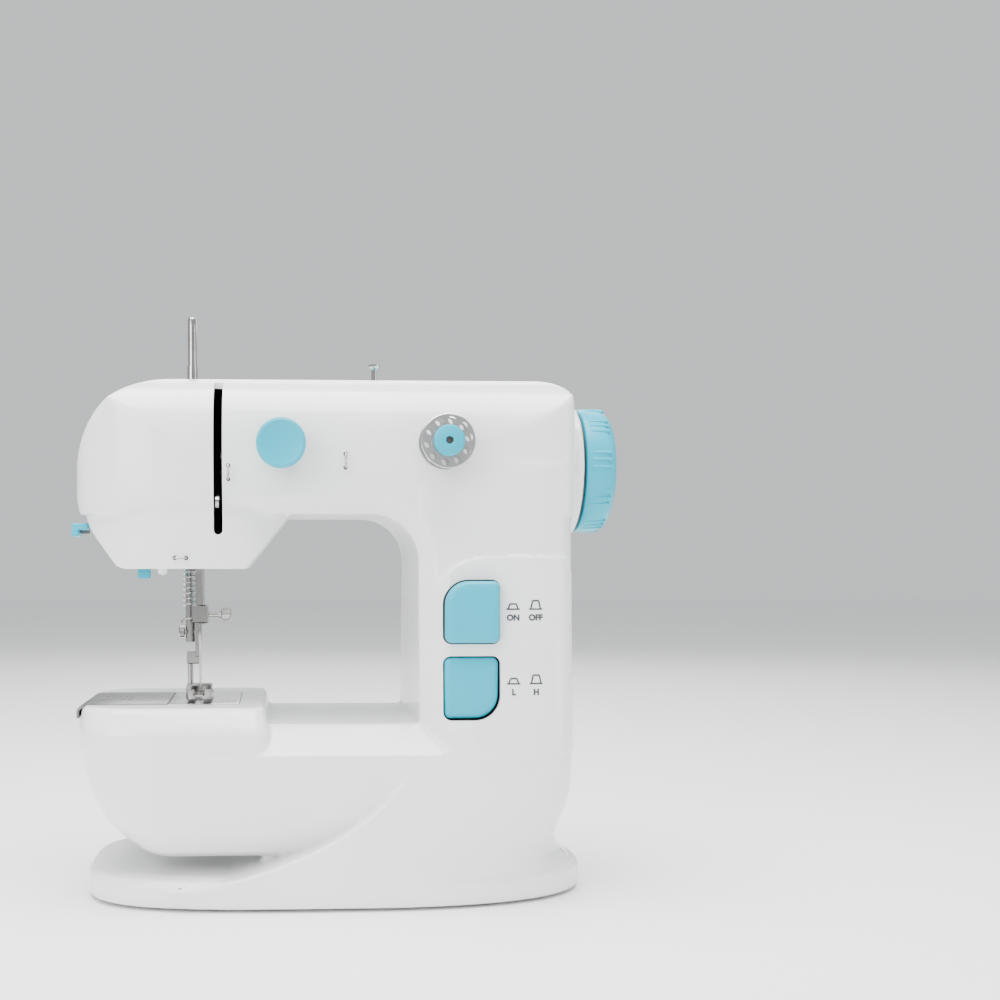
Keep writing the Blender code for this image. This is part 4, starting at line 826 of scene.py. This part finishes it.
front_half = halves[0][0]
bpy.context.view_layer.update()
marks = []
key_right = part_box("power_button")[1].x / MM
for which, left_text, right_text in (("power", "ON", "OFF"), ("speed", "L", "H")):
    low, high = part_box(f"{which}_button")
    z = (low.z + high.z) / 2 / MM + (1.2 if which == "power" else 1.9)
    for text, x, raised in ((left_text, key_right + 5.6, False), (right_text, key_right + 14.4, True)):
        marks.append(key_mark(x, z, 5.2, 3.0, raised))
        marks.append(legend(text, x, z - 3.5, 3.1))
print_on_front(settle(joined(marks), "key_legends", INK, "housing", "black", smooth=5))


# Slide plate: brushed steel sheet let into the bed over the lower bobbin. Its left end is bent
# down over the end of the free arm, and its top carries a row of pressed grip ribs.
PLATE = finish("brushed_plate", (0.20, 0.20, 0.205), (0.13, 0.13, 0.135), (0.24, 0.38), 0.14, metal=1.0,
               mottle_scale=160.0, grain_scale=2600.0, stretch=0.05)
low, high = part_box("slide_plate")
left, right, under, top = low.x / MM, high.x / MM, low.z / MM, high.z / MM
front, back = low.y / MM - CENTRE, high.y / MM - CENTRE
sheet, lip = 1.3, 3.0
outer_bend = curve_points([(left + 3.2, top), (left + 1.2, top - 0.2), (left + 0.1, top - 1.4),
                           (left, top - lip)], 10)
inner_bend = curve_points([(left + 1.0, top - lip), (left + 1.1, top - 2.0),
                           (left + 2.2, top - sheet), (left + 3.6, top - sheet)], 8)
upper = [(right, top), (left + 3.4, top)] + outer_bend + [(left, under)]
lower = [(left + 1.0, under)] + inner_bend + [(right, top - sheet)]
slide = prism(upper + lower, front, back, "XZ")
apply_modifier(slide, "BEVEL", width=0.25 * MM, segments=2, limit_method="ANGLE",
               angle_limit=math.radians(50))
ribs = [slide]
for number in range(5):
    x = left + 8.0 + number * 2.6
    ribs.append(rounded_block((x - 0.5, CENTRE - 9, top - 0.4), (x + 0.5, CENTRE + 6, top + 0.28), 0.24, 3))
settle(joined(ribs), "slide_plate_pressing", PLATE, "slide_plate", "plate", "slide_plate", smooth=32)


# Needle plate: ground steel sheet screwed down in the bed beside the slide plate, with a needle
# hole, two slots for the feed dog and three engraved seam guide lines.
low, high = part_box("needle_plate")
plate = rounded_block((low.x / MM, low.y / MM, low.z / MM),
                      (high.x / MM, high.y / MM, high.z / MM), 0.22, 2)
cutters = [drill((*NEEDLE, low.z / MM - 2), (*NEEDLE, high.z / MM + 2), 1.1, 28)]
ROW = 3.4
for offset in (-ROW, ROW):
    x = NEEDLE[0] + offset
    cutters.append(rounded_block((x - 1.1, NEEDLE[1] - 1.0, low.z / MM - 3),
                                 (x + 1.1, NEEDLE[1] + 12.4, high.z / MM + 3), 0.5, 2))
for step in (9.0, 11.5, 14.0):
    x = NEEDLE[0] + step
    cutters.append(block_cutter((x - 0.12, low.y / MM + 6, high.z / MM - 0.2),
                                (x + 0.12, high.y / MM - 6, high.z / MM + 2)))
for cutter in cutters:
    boolean(plate, cutter, "DIFFERENCE")
settle(plate, "needle_plate_pressing", SATIN, "housing", "plate", "needle_plate", smooth=30)


# Feed dog: a hardened steel carrier under the needle plate with two rows of saw teeth that come
# up through the slots. The carrier is cut away round the needle and stands on a ring.
STEEL = finish("turned_steel", (0.34, 0.34, 0.34), (0.25, 0.25, 0.25), (0.20, 0.34), 0.08, metal=1.0,
               mottle_scale=200.0)
low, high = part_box("feed_dog")
bar = block_cutter((NEEDLE[0] - 4.4, low.y / MM, low.z / MM),
                   (NEEDLE[0] + 4.4, high.y / MM, low.z / MM + 2.4))
needle_slot = block_cutter((NEEDLE[0] - 1.6, NEEDLE[1] - 3.4, low.z / MM - 1),
                           (NEEDLE[0] + 1.6, NEEDLE[1] + 3.4, low.z / MM + 4))
teeth = [boolean(bar, needle_slot, "DIFFERENCE")]
pitch = 1.04
for offset in (-ROW, ROW):
    x = NEEDLE[0] + offset
    start = NEEDLE[1] + 1.0
    saw = [(start, low.z / MM + 2)]
    for number in range(9):
        y = start + number * pitch
        saw += [(y, high.z / MM - 0.55), (y + 0.8, high.z / MM)]
    saw += [(start + 9.4, high.z / MM - 0.5), (start + 9.4, low.z / MM + 2)]
    tooth = prism([(y - CENTRE, z) for y, z in saw], x - 0.7, x + 0.7, "YZ")
    teeth.append(tooth)
teeth.append(turned([(0, 2.6), (0, 3.9), (2.4, 3.9), (2.4, 2.6), (0, 2.6)],
                    (NEEDLE[0], NEEDLE[1], low.z / MM), "Z", 32))
settle(joined(teeth), "feed_dog_teeth", STEEL, "feed_dog", "steel", "feed_dog", smooth=20)


# Spool pin: two chromed brass tubes, one sliding in the other, with a rounded tip, standing in a
# shallow moulded ring on the arm.
CHROME = finish("bright_nickel", (0.44, 0.43, 0.42), (0.34, 0.33, 0.32), (0.08, 0.18), 0.02, metal=1.0,
                mottle_scale=120.0)
x, y, _ = middle_of("spool_pin")
low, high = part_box("spool_pin")
tall = (high.z - low.z) / MM
pin = turned([(0, 0), (0, 2.2), (tall - 20.5, 2.2), (tall - 20.1, 2.1), (tall - 20.0, 1.85),
              (tall - 0.9, 1.85), (tall - 0.3, 1.5), (tall, 0.9), (tall, 0)], (x, y, low.z / MM), "Z", 40)
settle(pin, "spool_pin_tubes", CHROME, "spool_pin", "steel", "spool_pin", smooth=35)
ring = turned([(-0.6, 2.6), (0.25, 2.6), (0.45, 2.9), (0.45, 3.6), (0.1, 4.3), (-0.9, 4.6), (-0.6, 2.6)],
              (x, y, ARM_TOP - 0.1), "Z", 48)
settle(ring, "spool_pin_seat", WHITE, "housing", "white", smooth=40)


# Wire guides: bent nickel wire staples pressed into the moulding, each leg in a small hole drawn as a black
# disc of painted shade.
def staple(name, node, points, radius, body="housing"):
    """A length of round wire through points in millimetres."""
    curve = bpy.data.curves.new(name, "CURVE")
    curve.dimensions = "3D"
    curve.bevel_depth = radius * MM
    curve.bevel_resolution = 4
    line = curve.splines.new("POLY")
    line.points.add(len(points) - 1)
    for point, place in zip(line.points, points):
        point.co = (*(value * MM for value in place), 1)
    curve.use_fill_caps = True
    made = bpy.data.objects.new(name, curve)
    bpy.context.scene.collection.objects.link(made)
    bpy.ops.object.select_all(action="DESELECT")
    bpy.context.view_layer.objects.active = made
    made.select_set(True)
    bpy.ops.object.convert(target="MESH")
    return settle(bpy.context.object, name, CHROME, body, "steel", node, smooth=50)


for number in (1, 2):
    low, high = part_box(f"thread_guide_{number}")
    x, y0, y1 = (low.x + high.x) / 2 / MM, low.y / MM + 0.4, high.y / MM + 1.2
    z0, z1 = low.z / MM + 0.4, high.z / MM - 0.4
    path = [(x, y1, z0), (x, y0 + 1.0, z0), (x, y0 + 0.3, z0 + 0.3), (x, y0, z0 + 1.0),
            (x, y0, (z0 + z1) / 2 - 0.9), (x, y0 + 0.5, (z0 + z1) / 2), (x, y0, (z0 + z1) / 2 + 0.9),
            (x, y0, z1 - 1.0), (x, y0 + 0.3, z1 - 0.3), (x, y0 + 1.0, z1), (x, y1, z1)]
    staple(f"thread_guide_{number}_wire", f"thread_guide_{number}", path, 0.42)
    # Black discs on the face where the legs go in: painted shade for the holes.
    hole_shade_discs = [drill((x, front_at(x, z) / MM - 0.05, z), (x, front_at(x, z) / MM + 1, z), 0.8, 24)
            for z in (z0, z1)]
    settle(joined(hole_shade_discs), f"thread_guide_{number}_hole_shade_discs", BLACK, "housing", "black")
low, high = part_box("thread_guide_3")
z, y0, y1 = (low.z + high.z) / 2 / MM, low.y / MM + 0.4, high.y / MM + 1.5
x0, x1 = low.x / MM + 0.4, high.x / MM - 0.4
staple("thread_guide_3_wire", "thread_guide_3",
       [(x0, y1, z), (x0, y0 + 0.8, z), (x0 + 0.3, y0 + 0.2, z), (x0 + 1.0, y0, z), (x1 - 1.0, y0, z),
        (x1 - 0.3, y0 + 0.2, z), (x1, y0 + 0.8, z), (x1, y1, z)], 0.42)
# Black discs on the face where the legs go in: painted shade for the holes.
hole_shade_discs = [drill((x, front_at(x, z) / MM - 0.06, z), (x, front_at(x, z) / MM + 1, z), 0.85, 24)
        for x in (x0, x1)]
settle(joined(hole_shade_discs), "thread_guide_3_hole_shade_discs", BLACK, "housing", "black")


# Thread cutter, light switch and lamp: small parts round the head. The cutter is a teal hook with
# a blade sunk in it, the switch a ribbed teal slider, the lamp a clear domed lens.
low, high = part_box("thread_cutter")
a, b = [value / MM for value in low], [value / MM for value in high]
hook = rounded_block((a[0], a[1], b[2] - 2.6), (b[0], b[1], b[2]), 0.7, 4)
finger = rounded_block((a[0], a[1], a[2]), (a[0] + 2.6, b[1], b[2] - 1.4), 0.6, 4)
blade = block_cutter((a[0] + 2.2, (a[1] + b[1]) / 2 - 0.25, a[2] + 1.2),
                     (b[0], (a[1] + b[1]) / 2 + 0.25, b[2] - 2.2))
settle(joined([hook, finger]), "thread_cutter_hook", TEAL, "housing", "teal", "thread_cutter", smooth=35)
settle(blade, "thread_cutter_blade", PLATE, "housing", "plate")
low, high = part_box("light_switch")
a, b = [value / MM for value in low], [value / MM for value in high]
slider = [rounded_block(a, b, 0.5, 3)]
for number in range(3):
    x = a[0] + 1.1 + number * 1.4
    slider.append(rounded_block((x - 0.3, a[1] - 0.2, a[2] + 0.5),
                                (x + 0.3, b[1] + 0.2, a[2] + 3.0), 0.2, 2))
settle(joined(slider), "light_switch_slider", TEAL, "light_switch", "teal", "light_switch", smooth=35)
LENS = finish("clear_lens", (0.80, 0.83, 0.85), (0.72, 0.75, 0.78), (0.06, 0.12), 0.01, coat=0.5)
x, y, _ = middle_of("lamp")
low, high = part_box("lamp")
lens = turned([(6.6, 0), (6.6, 2.0), (1.9, 2.0), (1.2, 1.85), (0.5, 1.3), (0.1, 0.6), (0, 0)],
              (x, y, low.z / MM), "Z", 40)
settle(lens, "lamp_lens", LENS, "housing", "lens", "lamp", smooth=40)


# Needle clamp screw and needle: a knurled thumb screw through the needle bar's clamp block, and
# the needle below. The ground steel needle bar and the presser bar beside it, which carries the foot, are
# not rebuilt here.
low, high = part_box("needle_clamp_screw")
_, y, z = middle_of("needle_clamp_screw")
span = (high.x - low.x) / MM
radius = (high.z - low.z) / 2 / MM
thumb = turned([(0, 0), (0, 1.0), (span - 5.0, 1.0), (span - 4.9, 1.5), (span - 4.2, 1.6),
                (span - 4.0, radius - 0.5), (span - 3.7, radius - 0.12), (span - 0.6, radius - 0.12),
                (span - 0.2, radius - 0.5), (span, radius - 0.9), (span, 0)], (low.x / MM, y, z), "X", 48)
knurls = [thumb]
for number in range(20):
    angle = math.radians(18 * number)
    bpy.ops.mesh.primitive_cylinder_add(vertices=8, radius=0.28 * MM, depth=3.0 * MM,
                                        rotation=(0, math.pi / 2, 0),
                                        location=((low.x / MM + span - 2.1) * MM,
                                                  (y + (radius - 0.28) * math.cos(angle)) * MM,
                                                  (z + (radius - 0.28) * math.sin(angle)) * MM))
    knurls.append(bpy.context.object)
settle(joined(knurls), "needle_clamp_thumb_screw", CHROME, "needle_clamp_screw", "steel",
       "needle_clamp_screw", smooth=35)
low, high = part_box("needle")
x, y, _ = middle_of("needle")
tall = (high.z - low.z) / MM
shape = turned([(0, 0), (0.5, 0.12), (2.4, 0.36), (3.6, 0.42), (tall - 12.5, 0.45), (tall - 10.5, 0.78),
                (tall - 0.5, 0.8), (tall, 0.6), (tall, 0)], (x, y, low.z / MM), "Z", 28)
eye = drill((x - 2, y, low.z / MM + 3.6), (x + 2, y, low.z / MM + 3.6), 0.22, 12)
settle(boolean(shape, eye, "DIFFERENCE"), "needle_body", CHROME, "needle_bar", "steel", "needle", smooth=35)


# Presser spring: eight turns of plated spring wire round the presser bar, held at its top by the
# head. It is wound from one fixed helix; on the machine it shortens as the bar and the foot are raised.
low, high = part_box("presser_spring")
x, y, _ = middle_of("presser_spring")
coil_radius = (high.x - low.x) / 2 / MM - 0.4
foot_end, head_end, turns, steps = low.z / MM + 0.4, high.z / MM - 0.4, 8, 24
helix = []
for number in range(turns * steps + 1):
    angle = number * math.tau / steps
    helix.append((x + coil_radius * math.cos(angle), y + coil_radius * math.sin(angle),
                  foot_end + (head_end - foot_end) * number / (turns * steps)))
spring = staple("presser_spring_wire", "presser_spring", helix, 0.38)
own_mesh(spring)


# Inner works and plain pieces: belts of rubber, gears and bushes of nylon, brass and steel
# turnings, a green circuit board. Each keeps its machined shape, with a fine broken edge that
# catches the light as real stampings and turnings do.
RUBBER = finish("grey_rubber", (0.06, 0.06, 0.062), (0.09, 0.09, 0.09), (0.7, 0.85), 0.3)
NYLON = finish("natural_nylon", (0.70, 0.68, 0.62), (0.64, 0.62, 0.56), (0.4, 0.5), 0.1)
BRASS = finish("turned_brass", (0.70, 0.50, 0.20), (0.58, 0.40, 0.15), (0.2, 0.35), 0.05, metal=1.0)
BOARD = finish("green_board", (0.03, 0.20, 0.08), (0.02, 0.16, 0.06), (0.35, 0.5), 0.1)
SLOT_FINISH = {"white": WHITE, "teal": TEAL, "black": BLACK, "steel": CHROME, "plate": PLATE,
               "rubber": RUBBER, "nylon": NYLON, "brass": BRASS, "board": BOARD, "lens": LENS}
for part in frame["record"]["subparts"]:
    carried = frame["nodes"][part["node"]]
    carried.data.materials.clear()
    carried.data.materials.append(SLOT_FINISH[part["material_slot"]])

for name, node in frame["nodes"].items():
    if name not in ("front_shell", "rear_shell", "presser_spring", "drive_belt", "timing_belt"):
        edge = node.modifiers.new("broken_edge", "BEVEL")
        edge.width = 0.12 * MM
        edge.segments = 2
        edge.limit_method = "ANGLE"
        edge.angle_limit = math.radians(40)
